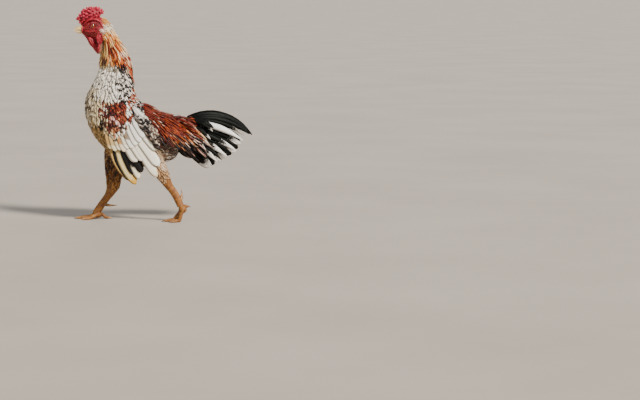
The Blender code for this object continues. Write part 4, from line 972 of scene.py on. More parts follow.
def plumage(name, roughness=0.6, stripe=0.0, edge=0.0, ragged=0.35, barbs=0.10, sheen=0.15):
    """The finish of feathers. The tip colour also runs down the shaft or round the edge by a share. Each
    feather is painted darker towards its root, partly its grey down and partly painted shade under the
    feathers over it.
    """
    material, wire, sockets = finish(name, {
        "Sheen Weight": sheen, "Sheen Roughness": 0.45, "Specular IOR Level": 0.2})
    vane = wire.node("SeparateXYZ", None, {0: wire.stored("vane", 1)})
    along, seed = vane.other(1), vane.other(2)
    away = vane.math("ABSOLUTE")
    tone, tips = wire.stored("tone"), wire.stored("tips")
    size, start = tone.other(3), tips.other(3)
    down = along * size
    fuzz = wire.node("CombineXYZ", None, {0: vane * 1.2, 1: down * 24.0, 2: seed * 61.0}).cloudy(1.6, 3.0)
    lines = wire.node("CombineXYZ", None, {0: vane * 5.0, 1: down * 90.0, 2: seed * 37.0}).cloudy(2.0, 2.0)
    ray = (down * 830.0 - away * size * 150.0 + seed * 9.0).math("SINE")
    mask = (along + away * 0.10 + (fuzz - 0.5) * ragged - start).step(-0.02, 0.10)
    if stripe:
        inner = (away + (lines - 0.5) * 0.35).step(0.42, 0.12) * along.step(0.97, 0.75) * stripe
        mask = mask.math("MAXIMUM", inner)
    if edge:
        outer = (away + (lines - 0.5) * 0.25).step(0.72, 0.95) * edge
        mask = mask.math("MAXIMUM", outer)
    colour = mask.blend(tone, tips)
    # The last term darkens each feather towards its root: partly its grey down, partly painted shade under
    # the feathers that overlap it.
    barb_streaks_and_root_shade = 1.0 - barbs * 0.5 + ray * (barbs * 0.5) + (lines - 0.5) * 0.3 - along.step(0.3, 0.0) * 0.25
    quill = away.step(0.10, 0.03) * along.step(0.95, 0.5) * 0.35
    wire.feed(sockets["Base Color"], quill.blend(colour.lit(barb_streaks_and_root_shade), colour.lit(0.62)))
    wire.feed(sockets["Roughness"], roughness - 0.08 + fuzz * 0.16)
    wire.feed(sockets["Normal"], (ray * 0.35 + lines * 0.8 + quill).bump(0.35, 0.0003))
    return material


def laid(form, place, angle, length, root, top, stations, drift=0.0, power=1.0):
    """Paths of feathers that run down the form from a place and an angle, from under it to above it."""
    t = np.linspace(0, 1, stations)[None, :]
    reach = (length / form.stretch(place, angle))[:, None]
    place = place[:, None] - reach * t
    angle = angle[:, None] + np.reshape(drift, (-1, 1)) * t
    root, top = np.reshape(root, (-1, 1)), np.reshape(top, (-1, 1))
    return form.at(place, angle, root + (top - root) * t ** power), form.out(place, angle)


def widths(outline, half, count, rough=0.06):
    """Half widths along each of the feathers, a little uneven."""
    uneven = luck.normal(1.0, rough, (count, len(outline))).clip(0.7, 1.3)
    return np.asarray(outline, float)[None, :] * np.reshape(half, (-1, 1)) * uneven


def homes(angle, height):
    """Where feathers keep their patches in the bake's picture: by their angle and a height."""
    return np.stack([(angle + 180) / 360, np.clip(height, 0, 0.99)], 1)


# Small rounded feathers cover the breast, the back and the belly, white and cream in front, flecked with
# black towards the shoulders, tan down the front edge and ochre below, partly their own buff and partly
# painted shade where the breast turns from the light, and brown under the tail. The outlines of all the small
# feathers come first, as shares of their full half width from root to tip.
ROUND_TIP = (0.35, 0.8, 1.0, 1.0, 0.82, 0.3)
DOWN_TIP = (0.35, 0.8, 1.0, 0.96, 0.68, 0.2)
BLUNT_TIP = (0.3, 0.7, 0.9, 1.0, 0.96, 0.76, 0.28)
LANCE = (0.35, 0.8, 1.0, 0.98, 0.86, 0.66, 0.42, 0.1)
TRIES = 44000
place = luck.uniform(-0.6, 14.2, TRIES)
angle = luck.uniform(-180, 180, TRIES)
seat = trunk.at(place, angle)
turned = np.abs(angle)
hem = spline(CAPE_HEM, turned / 45)[..., 0]
under_wing = (np.abs(seat[:, 1]) > 24) & (seat[:, 0] > -78) & (seat[:, 0] < -6)
under_wing &= (seat[:, 2] > 118) & (seat[:, 2] < 205)
wanted = (place < hem + 1.6) & ~((place < 4.4) & (turned < 62)) & ~(under_wing & (luck.random(TRIES) < 0.6))
kept = scattered(seat, 2.9, wanted)
place, angle = place[kept], angle[kept]
length = luck.uniform(10.0, 16.5, len(kept)) + 11.0 * np.clip((2.6 - place) / 2.6, 0, 1)
drift = luck.normal(0, 5.5, len(kept))
top = luck.uniform(0.0, 1.5, len(kept)) + 2.5 * np.clip((2.0 - place) / 2, 0, 1)
path, normal = laid(trunk, place, angle, length, -3.0, top, 6, drift, 0.8)
normal = unit(normal + luck.normal(0, 0.10, normal[:, :1].shape))
coat = Coat()
colours = worn(PATCHES, path[:, -2], luck)
half = widths(DOWN_TIP, luck.uniform(2.1, 3.1, len(kept)), len(kept))
coat.add(path, normal, half, colours, length, homes(angle, place / NAPE))
body_down = plumage("body_plumage", 0.7)
coat.make("body_feathers", body_down, "plumage_body")


# The hackles are long pointed feathers that hang from the nape over the neck like a cape:
# cream at the nape, gold and rust with pale edges on the sides, dark brown in front.
CAPE_PATCHES = [
    (-104, 361, 7, 7, "e7a34a", "fbd9a7", 0.10, "914816"),
    (-94, 357, 7, 7, "d9761e", "faba62", 0.15, "80340e"),
    (-88, 342, 8, 7, "efcc99", "ffe3bc", 0.25, "c16219"),
    (-97, 332, 8, 10, "df9b4a", "fbd5a0", 0.30, "b94810"),
    (-80, 327, 8, 8, "da7620", "fcc672", 0.30, "933610"),
    (-92, 317, 8, 8, "d26118", "fbcd95", 0.45, "82290d"),
    (-76, 315, 7, 8, "e8882a", "ffe0b3", 0.35, "a2380e"),
    (-66, 305, 6, 12, "e9af6a", "ffe5c1", 0.30, "b94610"),
    (-84, 304, 8, 8, "e1802e", "fed9a7", 0.45, "932b0d"),
    (-108, 322, 5, 12, "967138", "c19b60", 0.35, "4e2f13"),
    (-111, 298, 4, 16, "b99556", "e7c899", 0.30, "6f4620"),
    (-105, 304, 6, 12, "915d2d", "d9a966", 0.40, "432315"),
    (-98, 292, 8, 10, "6f3216", "ca9053", 0.40, "30160c"),
    (-98, 311, 6, 9, "9e5d25", "ebba73", 0.35, "5e2910"),
    (-90, 298, 6, 9, "a84a15", "f8c891", 0.40, "47170a"),
    (-76, 291, 6, 6, "b9380a", "eb7823", 0.30, "5e1706"),
    (-70, 299, 4, 9, "fee1be", "fff4dd", 0.20, "d27123"),
    (-84, 290, 8, 8, "c14c12", "f4953b", 0.40, "5e190a"),
    (-72, 292, 7, 7, "da7c2d", "ffd9a4", 0.40, "a83a0e"),
    (-74, 281, 9, 7, "b03e15", "e7954a", 0.45, "4e150a"),
    (-60, 288, 6, 12, "d26726", "fed9b3", 0.35, "932b0d"),
    (-88, 275, 16, 4, "c19d6a", "ebcfab", 0.50, "241510"),
    (-70, 270, 12, 5, "2a1a14", "d7bca2", 0.60, "120c0a"),
    (-50, 262, 7, 20, "a4320d", "d26123", 0.30, "4e150a"),
]
TRIES = 24000
place = luck.uniform(7.4, NAPE + 0.4, TRIES)
angle = luck.uniform(-180, 180, TRIES)
hem = spline(CAPE_HEM, np.abs(angle) / 45)[..., 0] + 0.25 * luck.random(TRIES)
hem -= 0.8 * np.clip((np.abs(angle) - 110) / 50, 0, 1)
length = 11.0 + 15.0 * np.clip((NAPE - place) / 4.0, 0.1, 1) * luck.uniform(0.85, 1.1, TRIES)
kept = scattered(trunk.at(place, angle), 2.8, place - length / trunk.stretch(place, angle) > hem)
place, angle, length = place[kept], angle[kept], length[kept]
top = luck.uniform(2.4, 4.2, len(kept)) * np.clip((NAPE + 0.6 - place) / 2.5, 0.2, 1)
path, normal = laid(trunk, place, angle, length, -1.4, top, 8, luck.normal(0, 5.0, len(kept)), 0.75)
main, tips, start = worn(CAPE_PATCHES, path[:, -3], luck)
start = start - luck.uniform(0.0, 0.4, len(kept))
coat = Coat()
half = widths(LANCE, luck.uniform(1.5, 2.2, len(kept)), len(kept), 0.04)
coat.add(path, normal, half, (main, tips, start), length, homes(angle, place / NAPE))
coat.make("hackles", plumage("hackle_plumage", 0.45, 0.0, 0.5, 0.6, 0.12, 0.05), "plumage_neck", "neck")


# Short soft feathers edge the bare face: down the back of the head from behind the comb, round
# the ear, where a small tuft covers its opening, and under the lobes.
CROWN_PATCHES = [
    (-105, 366, 6, 5, "e2c48c", "f3e6c8", 0.10, "9a5a24"),
    (-98, 358, 6, 8, "c87f34", "ecc07a", 0.12, "8a4418"),
    (-94, 342, 6, 8, "e8dcc4", "f6efe2", 0.05, "b06a2c"),
    (-103, 340, 4, 8, "dca894", "eed0c0", 0.05, "a05a40"),
    (-103, 322, 6, 8, "a08058", "c8ae84", 0.20, "5a3c22"),
]
TRIES = 9000
place = luck.uniform(0.0, 3.2, TRIES)
angle = luck.uniform(-180, 180, TRIES)
seat = skull.at(place, angle)
border = -108.5 + (367.0 - seat[:, 2]) * 0.20
kept = scattered(seat, 1.9, seat[:, 0] > border)
place, angle = place[kept], angle[kept]
length = luck.uniform(6.0, 9.0, len(kept))
path, normal = laid(skull, place, angle, length, -0.5, luck.uniform(0.7, 1.5, len(kept)), 6, 0.0, 0.7)
colours = worn(CROWN_PATCHES, path[:, -2], luck)
half = widths(ROUND_TIP, luck.uniform(0.8, 1.2, len(kept)), len(kept))
coat = Coat()
coat.add(path, normal, half, colours, length, homes(angle, 0.9 + place / 40), patch=0.002)

# Sparse short bristles stand on the bare face, away from the eye.
TRIES = 5000
place = luck.uniform(1.4, 6.4, TRIES)
angle = luck.uniform(40, 140, TRIES) * luck.choice((-1, 1), TRIES)
seat = skull.at(place, angle)
face = (np.hypot(seat[:, 0] - EYE[0], seat[:, 2] - EYE[2]) > 8.5) & (seat[:, 2] > 328) & (seat[:, 2] < 358)
kept = scattered(seat, 2.6, face & (luck.random(TRIES) < 0.4))
place, angle = place[kept], angle[kept]
length = luck.uniform(2.2, 4.0, len(kept))
path, normal = laid(skull, place, angle, length, -0.2, 0.9, 6, luck.normal(0, 4, len(kept)), 0.7)
colours = *(np.tile(shades([code]), (len(kept), 1)) for code in ("7a2a1c", "c08a6a")), np.full(len(kept), 0.5)
half = widths((0.7, 0.8, 0.7, 0.6, 0.4, 0.15), 0.22, len(kept))
coat.add(path, normal, half, colours, length, homes(angle, 0.9 + place / 80), thick=0.12, patch=0.002)

# The tuft over the opening of the ear.
TUFT = 70
ear = luck.normal(0, 1.0, (TUFT, 2)) * np.array([1.5, 1.9])
t = np.linspace(0, 1, 6)[None, :]
for side in (-1, 1):
    x = -107.5 + ear[:, :1] + t * 4.6
    z = 342.6 + ear[:, 1:] - t * (1.6 + 0.5 * ear[:, :1])
    y = side * (14.3 + 1.1 * np.sin(t * 2.2) - 0.10 * ear[:, 1:] ** 2)
    path = np.stack(np.broadcast_arrays(x, y, z), -1)
    normal = np.broadcast_to(np.array([0.0, side, 0.1]), path.shape)
    pick = luck.integers(0, 3, TUFT)
    main = shades(("d9a08c", "e9cdbb", "c06a52"))[pick]
    tips = shades(("eed6c8", "f4e8dc", "dca890"))[pick]
    half = widths((0.6, 0.9, 1.0, 0.8, 0.5, 0.12), 0.42, TUFT)
    coat.add(path, normal, half, (main, tips, np.full(TUFT, 0.4)), 4.6,
             homes(np.full(TUFT, side * 90.0), np.linspace(0.90, 0.95, TUFT)), thick=0.1, patch=0.002)
coat.make("face_feathers", body_down, "plumage_neck")


# The wings hang closed at the sides. Small rounded coverts lie over the shoulder, dark maroon
# with rust and white round it, then larger cream coverts, over the long quills of the wing.
WING_MIDDLE, WING_OUT, WING_DOME = (-58.0, 160.0), 37.4, 0.0008
COVERTS_OUT, BACK_BEGINS, BACK_ROUND, ROOT_SINK = 5.5, 184, 0.025, 3.2
# Each quill is its root, its bend and its tip in the side view, its width, its main colour, the
# colour of its tip and where along it the tip begins.
PRIMARIES = [
    ((-92, 147), (-92, 108), (-59, 76), 9.0, "bd9a5c", "8a6a3c", 0.80),
    ((-87, 148), (-87, 106), (-53, 73), 9.5, "15100d", "15100d", 0.90),
    ((-82, 150), (-78, 104), (-47.5, 69), 12.5, "dcc68c", "cf9c3c", 0.86),
    ((-77, 152), (-66, 116), (-50, 87), 13.5, "120e0c", "1a1411", 0.90),
    ((-72, 153), (-56, 112), (-42, 79), 12.0, "120e0c", "f0e4c6", 0.70),
    ((-68, 154), (-50, 116), (-36.5, 91), 13.5, "120e0c", "1a1411", 0.90),
]
SECONDARIES = [
    ((-74, 166), (-63, 136), (-45.5, 110), 17.0, "f1e8d3", "f9f2df", 0.85),
    ((-68, 168), (-52, 138), (-34, 112), 16.0, "f3ebd7", "f9f2df", 0.85),
    ((-62, 170), (-38, 126), (-10, 82), 15.5, "f5edd8", "e8d7b2", 0.92),
    ((-57, 175), (-34, 141), (-6.5, 101.5), 18.0, "f7f0dd", "fcf6e5", 0.85),
    ((-54, 183), (-32, 158), (-9, 130), 16.5, "f5eedb", "f2e7d0", 0.90),
]
GREATER_COVERTS = [
    ((-99, 166), (-97, 149), (-91, 133), 10.5, "b8935c", "dfc894", 0.78),
    ((-93, 166), (-90, 148), (-83, 129), 11.0, "c9ab74", "ecdcb4", 0.70),
    ((-87, 167), (-83, 149), (-75, 131), 11.0, "d9c79e", "f2e8ce", 0.80),
    ((-81, 169), (-76, 149), (-67, 128), 11.0, "b98450", "eedcba", 0.66),
    ((-75, 171), (-70, 152), (-61, 133), 11.0, "e6dcc2", "f6f0e0", 0.80),
    ((-69, 174), (-63, 154), (-53, 134), 11.5, "8f7a66", "f2ece0", 0.58),
    ((-63, 178), (-56, 158), (-46, 139), 12.0, "efe8d8", "f8f4ea", 0.80),
    ((-57, 183), (-50, 164), (-39, 145), 12.0, "f1ebdf", "f8f4ee", 0.80),
    ((-52, 189), (-44, 171), (-32, 153), 12.0, "e9e3da", "f3eee6", 0.80),
]
TERTIALS = [
    ((-50, 190), (-26, 172), (-5.5, 135), 13.5, "c6bcb0", "3a2c24", 0.80),
    ((-48, 196), (-28, 180), (-10, 148), 12.0, "d8cfc4", "4a3a30", 0.66),
    ((-48, 204), (-34, 190), (-20, 164), 11.0, "e0d8ce", "1c1613", 0.60),
    ((-52, 208), (-40, 196), (-30, 176), 10.0, "e9e2d8", "1c1613", 0.62),
]
COVERT_PATCHES = [
    (-100, 206, 9, 9, "400e09", "802813", 0.35, "200806"),
    (-84, 210, 10, 7, "631b0e", "a04823", 0.35, "2c0a08"),
    (-98, 190, 9, 10, "380a08", "63190e", 0.40, "a75735"),
    (-84, 196, 10, 8, "4a1009", "8a3315", 0.40, "24080a"),
    (-70, 201, 7, 9, "73240e", "d08050", 0.35, "3c0f0a"),
    (-66, 186, 7, 9, "822f13", "d89a6c", 0.35, "49140b"),
    (-84, 181, 9, 5, "c9958a", "ecd2ca", 0.35, "541710"),
    (-78, 171, 11, 5, "4a120b", "c07858", 0.40, "2a0a08"),
    (-96, 172, 7, 8, "632b15", "c8a078", 0.40, "301008"),
    (-88, 158, 5, 6, "9c572c", "ecd0b0", 0.40, "45190e"),
    (-69, 162, 5, 6, "6a5444", "eee6da", 0.40, "1c1410"),
    (-110, 204, 4, 14, "e2d8c8", "f2eadc", 0.30, "2a1e18"),
    (-107, 174, 6, 12, "cbb78e", "dfcfa8", 0.30, "1c1410"),
    (-98, 150, 9, 9, "cdb384", "ebddbd", 0.30, "4a2e1e"),
    (-78, 152, 9, 7, "dcd2c0", "f4eee2", 0.30, "2c201a"),
    (-58, 167, 8, 9, "eee8de", "faf7f2", 0.15, "7a5a44"),
    (-84, 141, 12, 7, "d2b884", "ecdcb4", 0.25, "3a2418"),
    (-64, 145, 10, 7, "e6decf", "f6f1e6", 0.20, "2c201a"),
    (-59, 194, 4, 14, "f1ebe2", "faf7f2", 0.12, "9c4125"),
    (-51, 202, 4, 13, "8c3317", "d89a74", 0.35, "efe8de"),
    (-42, 200, 8, 9, "35302d", "eee8e0", 0.50, "f8f4ee"),
    (-36, 187, 8, 9, "b8b0a8", "efe9e2", 0.55, "161210"),
    (-30, 176, 9, 9, "57493f", "e6ded4", 0.50, "171210"),
    (-22, 164, 9, 9, "7c6858", "d0c4b6", 0.50, "2a1c16"),
    (-12, 150, 9, 9, "6c5646", "c4b4a2", 0.50, "201610"),
    (-4, 138, 8, 8, "40302a", "b09a84", 0.40, "1a110d"),
]


def wing_sheet(side, root, bend, tip, layer, slope, stations):
    """Paths and normals of quills that lie in a wing's sheet, each shingled over the next."""
    t = np.linspace(0, 1, stations)[None, :, None]
    flat = arc(np.asarray(root)[:, None], np.asarray(bend)[:, None], np.asarray(tip)[:, None], t)
    ahead = unit(np.gradient(flat, axis=1))
    dx, dz = flat[..., 0] - WING_MIDDLE[0], flat[..., 1] - WING_MIDDLE[1]
    sink = ROOT_SINK * np.clip(1 - t[..., 0] / 0.3, 0, 1)
    out = WING_OUT - WING_DOME * (dx * dx + dz * dz) + np.reshape(layer, (-1, 1)) - sink
    path = np.stack([flat[..., 0], side * out, flat[..., 1]], -1)
    tilt_x = 2 * WING_DOME * dx - slope * ahead[..., 1]
    tilt_z = 2 * WING_DOME * dz + slope * ahead[..., 0]
    return path, unit(np.stack([tilt_x, np.full_like(tilt_x, side), tilt_z], -1))


cover_forms = [shell(trunk.net(0.0, NAPE, 50, 36, 0.0))]
for side in (-1, 1):
    cover_forms.append(ball((-78.0, side * 33.0, 174.0), (26.0, 11.0, 42.0), -24.0))
cover = grown("cover", cover_forms, COVER_GRAIN)
points, edges, _ = measured(cover.data)
cover_faces = [face.vertices[:] for face in cover.data.polygons]
cover_tree = BVHTree.FromPolygons([Vector(p) for p in eased(points, edges, 14)], cover_faces)
bpy.data.objects.remove(cover, do_unlink=True)


def over_cover(side, flat, lift):
    """Points over the cover of the body at places in the side view, and which way is out there."""
    path, normal = np.zeros((*flat.shape[:2], 3)), np.zeros((*flat.shape[:2], 3))
    for index in np.ndindex(flat.shape[:2]):
        x, z = flat[index]
        hit, out, _, _ = cover_tree.ray_cast(Vector((x, side * 90, z)), Vector((0, -side, 0)))
        if hit is None:
            hit, out, _, _ = cover_tree.find_nearest(Vector((x, side * 20, z)))
        path[index], normal[index] = hit, out
    return path + normal * lift[..., None], normal


def over_wing(side, flat, lift):
    """Points over the quills of a wing, rounded in to the back above them, and which way is out."""
    dx, dz = flat[..., 0] - WING_MIDDLE[0], flat[..., 1] - WING_MIDDLE[1]
    high = np.maximum(flat[..., 1] - BACK_BEGINS, 0)
    out = WING_OUT + COVERTS_OUT - WING_DOME * (dx * dx + dz * dz) - BACK_ROUND * high * high + lift
    tilt_z = 2 * WING_DOME * dz + 2 * BACK_ROUND * high
    normal = unit(np.stack([2 * WING_DOME * dx, np.full_like(dx, side), tilt_z], -1))
    return np.stack([flat[..., 0], side * out, flat[..., 1]], -1), normal


def blade(stations, narrow, full, power, taper):
    """The outline of a quill: how narrow its root is, where along it the full width begins and
    by which power it gets there, and where the rounded tip begins."""
    t = np.linspace(0, 1, stations)
    tip = np.clip((t - taper) / (1 - taper), 0, 1) ** 2.4
    return (narrow + (1 - narrow) * np.minimum(t / full, 1) ** power) * np.sqrt(1.03 - tip)


QUILL_WIDE = (-1, -0.55, 0, 0.55, 1)
QUILL_TIP = blade(24, 0.3, 0.45, 0.6, 0.8)
COVERT_TIP = blade(15, 0.5, 0.3, 1.0, 0.7)
quill_finish = plumage("quill_plumage", 0.5, 0.0, 0.0, 0.16, 0.14, 0.05)
covert_finish = plumage("covert_plumage", 0.55, 0.0, 0.2, 0.5, 0.10, 0.1)
tertial_finish = plumage("tertial_plumage", 0.55, 0.3, 0.55, 1.6, 0.10, 0.1)
TRIES = 9000
for side, word in ((-1, "left"), (1, "right")):
    coat, soft = Coat(), Coat()
    for rows, outline, layer, slope, into in (
        (PRIMARIES, QUILL_TIP, 0.4, 0.21, coat), (SECONDARIES, QUILL_TIP, 2.9, 0.13, coat),
        (GREATER_COVERTS, COVERT_TIP, 4.7, 0.13, coat), (TERTIALS, COVERT_TIP, 5.4, 0.10, soft),
    ):
        root, bend, tip, wide, main, tips, start = zip(*rows)
        layer = layer + 0.12 * (np.arange(len(rows)) % 2)
        path, normal = wing_sheet(side, root, bend, tip, layer, slope, len(outline))
        half = widths(outline, np.array(wide) * 0.52, len(rows), 0.01)
        colours = shades(main), shades(tips), np.array(start)
        into.add(path, normal, half, colours, wide=QUILL_WIDE, thick=0.5, camber=0.10)
    coat.make("wing_quills_" + word, quill_finish, "plumage_wing", "wing_" + word)
    soft.make("wing_tertials_" + word, tertial_finish, "plumage_wing")
    coat = Coat()
    for above, below, push, over in (
        (((-114, 200), (-102, 218), (-76, 222), (-46, 212)),
         ((-100, 150), (-82, 144), (-60, 152), (-46, 176)), 14, over_cover),
        (((-52, 209), (-38, 200), (-24, 182), (-12, 160)),
         ((-50, 186), (-40, 172), (-28, 156), (-18, 142)), 34, over_wing),
    ):
        f, g = luck.uniform(0, 1, TRIES), luck.uniform(0, 1, TRIES)
        top, low = spline(above, f * 3), spline(below, f * 3)
        seat = top + (low - top) * g[:, None]
        kept = scattered(np.concatenate([seat, f[:, None] * 0], 1), 3.9)
        order = kept[np.argsort(g[kept])[::-1]]
        f, g, seat = f[order], g[order], seat[order]
        heading = unit(low[order] - top[order] + np.array([push, 0.0]))
        heading = unit(heading + luck.normal(0, 0.13, heading.shape))
        long = 10.5 + 6.5 * g + luck.uniform(-1.5, 2.5, len(order))
        t = np.linspace(0, 1, 7)[None, :]
        flat = seat[:, None] + heading[:, None] * (long[:, None] * t)[..., None]
        lift = -2.0 + (2.4 + 1.0 * g[:, None] + luck.uniform(0, 0.8, (len(order), 1))) * t ** 0.8
        path, normal = over(side, flat, lift)
        colours = worn(COVERT_PATCHES, path[:, -2], luck)
        half = widths(BLUNT_TIP, 2.6 + 1.1 * g + luck.uniform(-0.4, 0.4, len(order)), len(order))
        home = homes(side * 90.0 + (f - 0.5) * 72.0, push / 60 + 0.2 * (1 - g))
        coat.add(path, normal, half, colours, long, home)
    coat.make("wing_coverts_" + word, covert_finish, "plumage_wing")


# The saddle is a fall of long narrow feathers from the rump, glossy rust with orange edges. It
# lies over the roots of the tail and hides the tips of the wings' last quills.
SADDLE_PATCHES = [
    (-20, 198, 14, 7, "6d1d05", "9d3f11", 0.20, "390e06"),
    (8, 190, 18, 7, "671904", "8d320a", 0.25, "3f0e05"),
    (36, 184, 18, 7, "541204", "7e2808", 0.25, "300d08"),
    (66, 176, 14, 9, "4b1104", "7e2a0a", 0.25, "2c0c08"),
    (-20, 180, 10, 12, "742108", "af5825", 0.30, "e5cab4"),
    (10, 176, 16, 9, "721e03", "ab470c", 0.25, "3f0d05"),
    (44, 168, 16, 9, "681c05", "b55011", 0.25, "3b0e06"),
    (76, 160, 12, 8, "742607", "bd6625", 0.30, "efd4c3"),
    (84, 148, 10, 8, "591c08", "ebbfa2", 0.30, "f3ded4"),
    (-6, 164, 10, 9, "541205", "903715", 0.30, "dcab93"),
    (24, 160, 14, 8, "702105", "b75311", 0.25, "4b1106"),
    (50, 150, 12, 8, "671e06", "d58141", 0.35, "edd2c1"),
    (66, 142, 12, 7, "1e0e0a", "d4a493", 0.40, "120a08"),
    # A near-black patch low under the saddle: partly dark feathers, partly painted shade beneath the saddle.
    (-8, 150, 10, 9, "240a08", "410f08", 0.40, "120908"),
    (14, 146, 12, 8, "300c0a", "5e1c0a", 0.35, "c57f53"),
    (38, 140, 12, 7, "28100c", "c58256", 0.30, "1a0e0b"),
    (18, 134, 14, 7, "180d0a", "37170c", 0.40, "120a08"),
]
LONG_SADDLES = [
    ((20, 186), (44, 184), (64, 163), "661704", "ebcba9", 0.86),
    ((24, 180), (50, 172), (74, 152), "792005", "e3944d", 0.80),
    ((26, 174), (54, 162), (86, 137), "661a05", "ebc4a2", 0.84),
    ((24, 168), (52, 154), (92, 132), "160c0a", "ac968c", 0.80),
    ((22, 164), (44, 152), (70, 141), "4d1305", "e3bca9", 0.78),
    ((20, 160), (38, 148), (57, 138), "120b09", "e3cbbf", 0.86),
    ((18, 158), (32, 146), (45, 140), "581305", "ebcbbc", 0.80),
    ((12, 158), (24, 144), (36, 136), "240d0a", "d49e8e", 0.82),
    ((30, 178), (58, 170), (80, 146), "943709", "efc793", 0.74),
    ((14, 176), (36, 170), (52, 156), "771d04", "d5742f", 0.74),
    ((16, 170), (34, 160), (44, 146), "761e05", "efd6c7", 0.82),
    ((8, 168), (24, 156), (32, 142), "671805", "e38d47", 0.82),
    ((14, 152), (30, 138), (48, 131), "140c0a", "87664d", 0.86),
    ((20, 152), (40, 140), (64, 134), "180e0b", "a58265", 0.86),
]
OVER_TAIL_OVALS = [
    (130, 168, 118, 92, 10.0), (96, 180, 84, 108, 12.0), (66, 186, 52, 122, 12.5),
    (44, 188, 32, 130, 13.0), (24, 189, 14, 132, 15.0),
]
# The short ones end on a line that slants back and down from the top of the tail's base.
FRINGE_X, FRINGE_TOP, FRINGE_SLOPE = 47, 196, 0.75
TRIES = 14000
place = luck.uniform(-0.6, 4.6, TRIES)
angle = luck.uniform(-80, 80, TRIES)
seat = trunk.at(place, angle)
kept = scattered(seat, 3.3, seat[:, 0] > -34 - 0.25 * (seat[:, 2] - 190))
place, angle, seat = place[kept], angle[kept], seat[kept]
rear = np.clip((2.4 - place) / 1.6, 0, 1)
drop = np.radians(11 + 30 * np.abs(angle) / 80 + luck.normal(0, 2.0, len(kept)))
outward = np.sign(angle) * (0.06 + 0.08 * rear) * np.minimum(np.abs(angle) / 20, 1)
heading = np.stack([np.cos(drop), outward, -np.sin(drop)], 1)
length = luck.uniform(27, 38, len(kept)) * (0.85 + 0.85 * rear)
room = FRINGE_X + FRINGE_SLOPE * (FRINGE_TOP - seat[:, 2]) - seat[:, 0]
room = room / (heading[:, 0] + FRINGE_SLOPE * heading[:, 2])
length = np.minimum(length, np.maximum(room, 12.0))
t = np.linspace(0, 1, 8)[None, :, None]
path = seat[:, None] + heading[:, None] * length[:, None, None] * t - np.array([0, 0, 5.0]) * t * t
main, tips, start = worn(SADDLE_PATCHES, path[:, -3], luck)
half = luck.uniform(2.0, 2.9, len(kept))

# Long ones with pale edges hang among them over the base of the tail.
root, bend, tip, long_main, long_tips, long_start = zip(*LONG_SADDLES)
flat = arc(*(np.array(ends, float)[:, None] for ends in (root, bend, tip)), t)
spots = np.linspace(0.1, 1.4, len(LONG_SADDLES))
for side in (-1, 1):
    out = side * (9 + 13.5 * np.minimum(t * 1.6, 1)) + flat[..., :1] * 0
    path = np.concatenate([path, np.concatenate([flat[..., :1], out, flat[..., 1:]], -1)])
    length = np.concatenate([length, np.linalg.norm(flat[:, -1] - flat[:, 0], axis=1)])
    main = np.concatenate([main, shades(long_main)])
    tips = np.concatenate([tips, shades(long_tips)])
    start = np.concatenate([start, long_start])
    angle = np.concatenate([angle, side * 43.2 * spots])
    place = np.concatenate([place, spots])
    half = np.concatenate([half, np.full(len(LONG_SADDLES), 3.4)])
rump_forms = [shell(Form(OVER_TAIL_OVALS).net(0, 4, 24, 28)), shell(trunk.net(0.0, 8.0, 40, 40, 0.0))]
points, faces = gathered(rump_forms)
rump = BVHTree.FromPolygons([Vector(p) for p in points], faces)
normal = np.zeros_like(path)
lift = -1.8 + (luck.uniform(3.8, 5.4, (len(path), 1)) + 1.8) * np.linspace(0, 1, 8)[None, :] ** 0.9
for index in np.ndindex(path.shape[:2]):
    point = Vector(path[index])
    hit, out, _, _ = rump.find_nearest(point)
    high = (point - hit).dot(out)
    if high < lift[index] or index[1] < 2:
        point = hit + out * lift[index]
    path[index], normal[index] = point, out
coat = Coat()
half = widths(LANCE, half, len(path), 0.04)
coat.add(path, normal, half, (main, tips, start), length, homes(angle, place / NAPE))
saddle_finish = plumage("saddle_plumage", 0.42, 0.0, 0.55, 0.5, 0.12, 0.05)
coat.make("saddle_feathers", saddle_finish, "plumage_body", "torso")


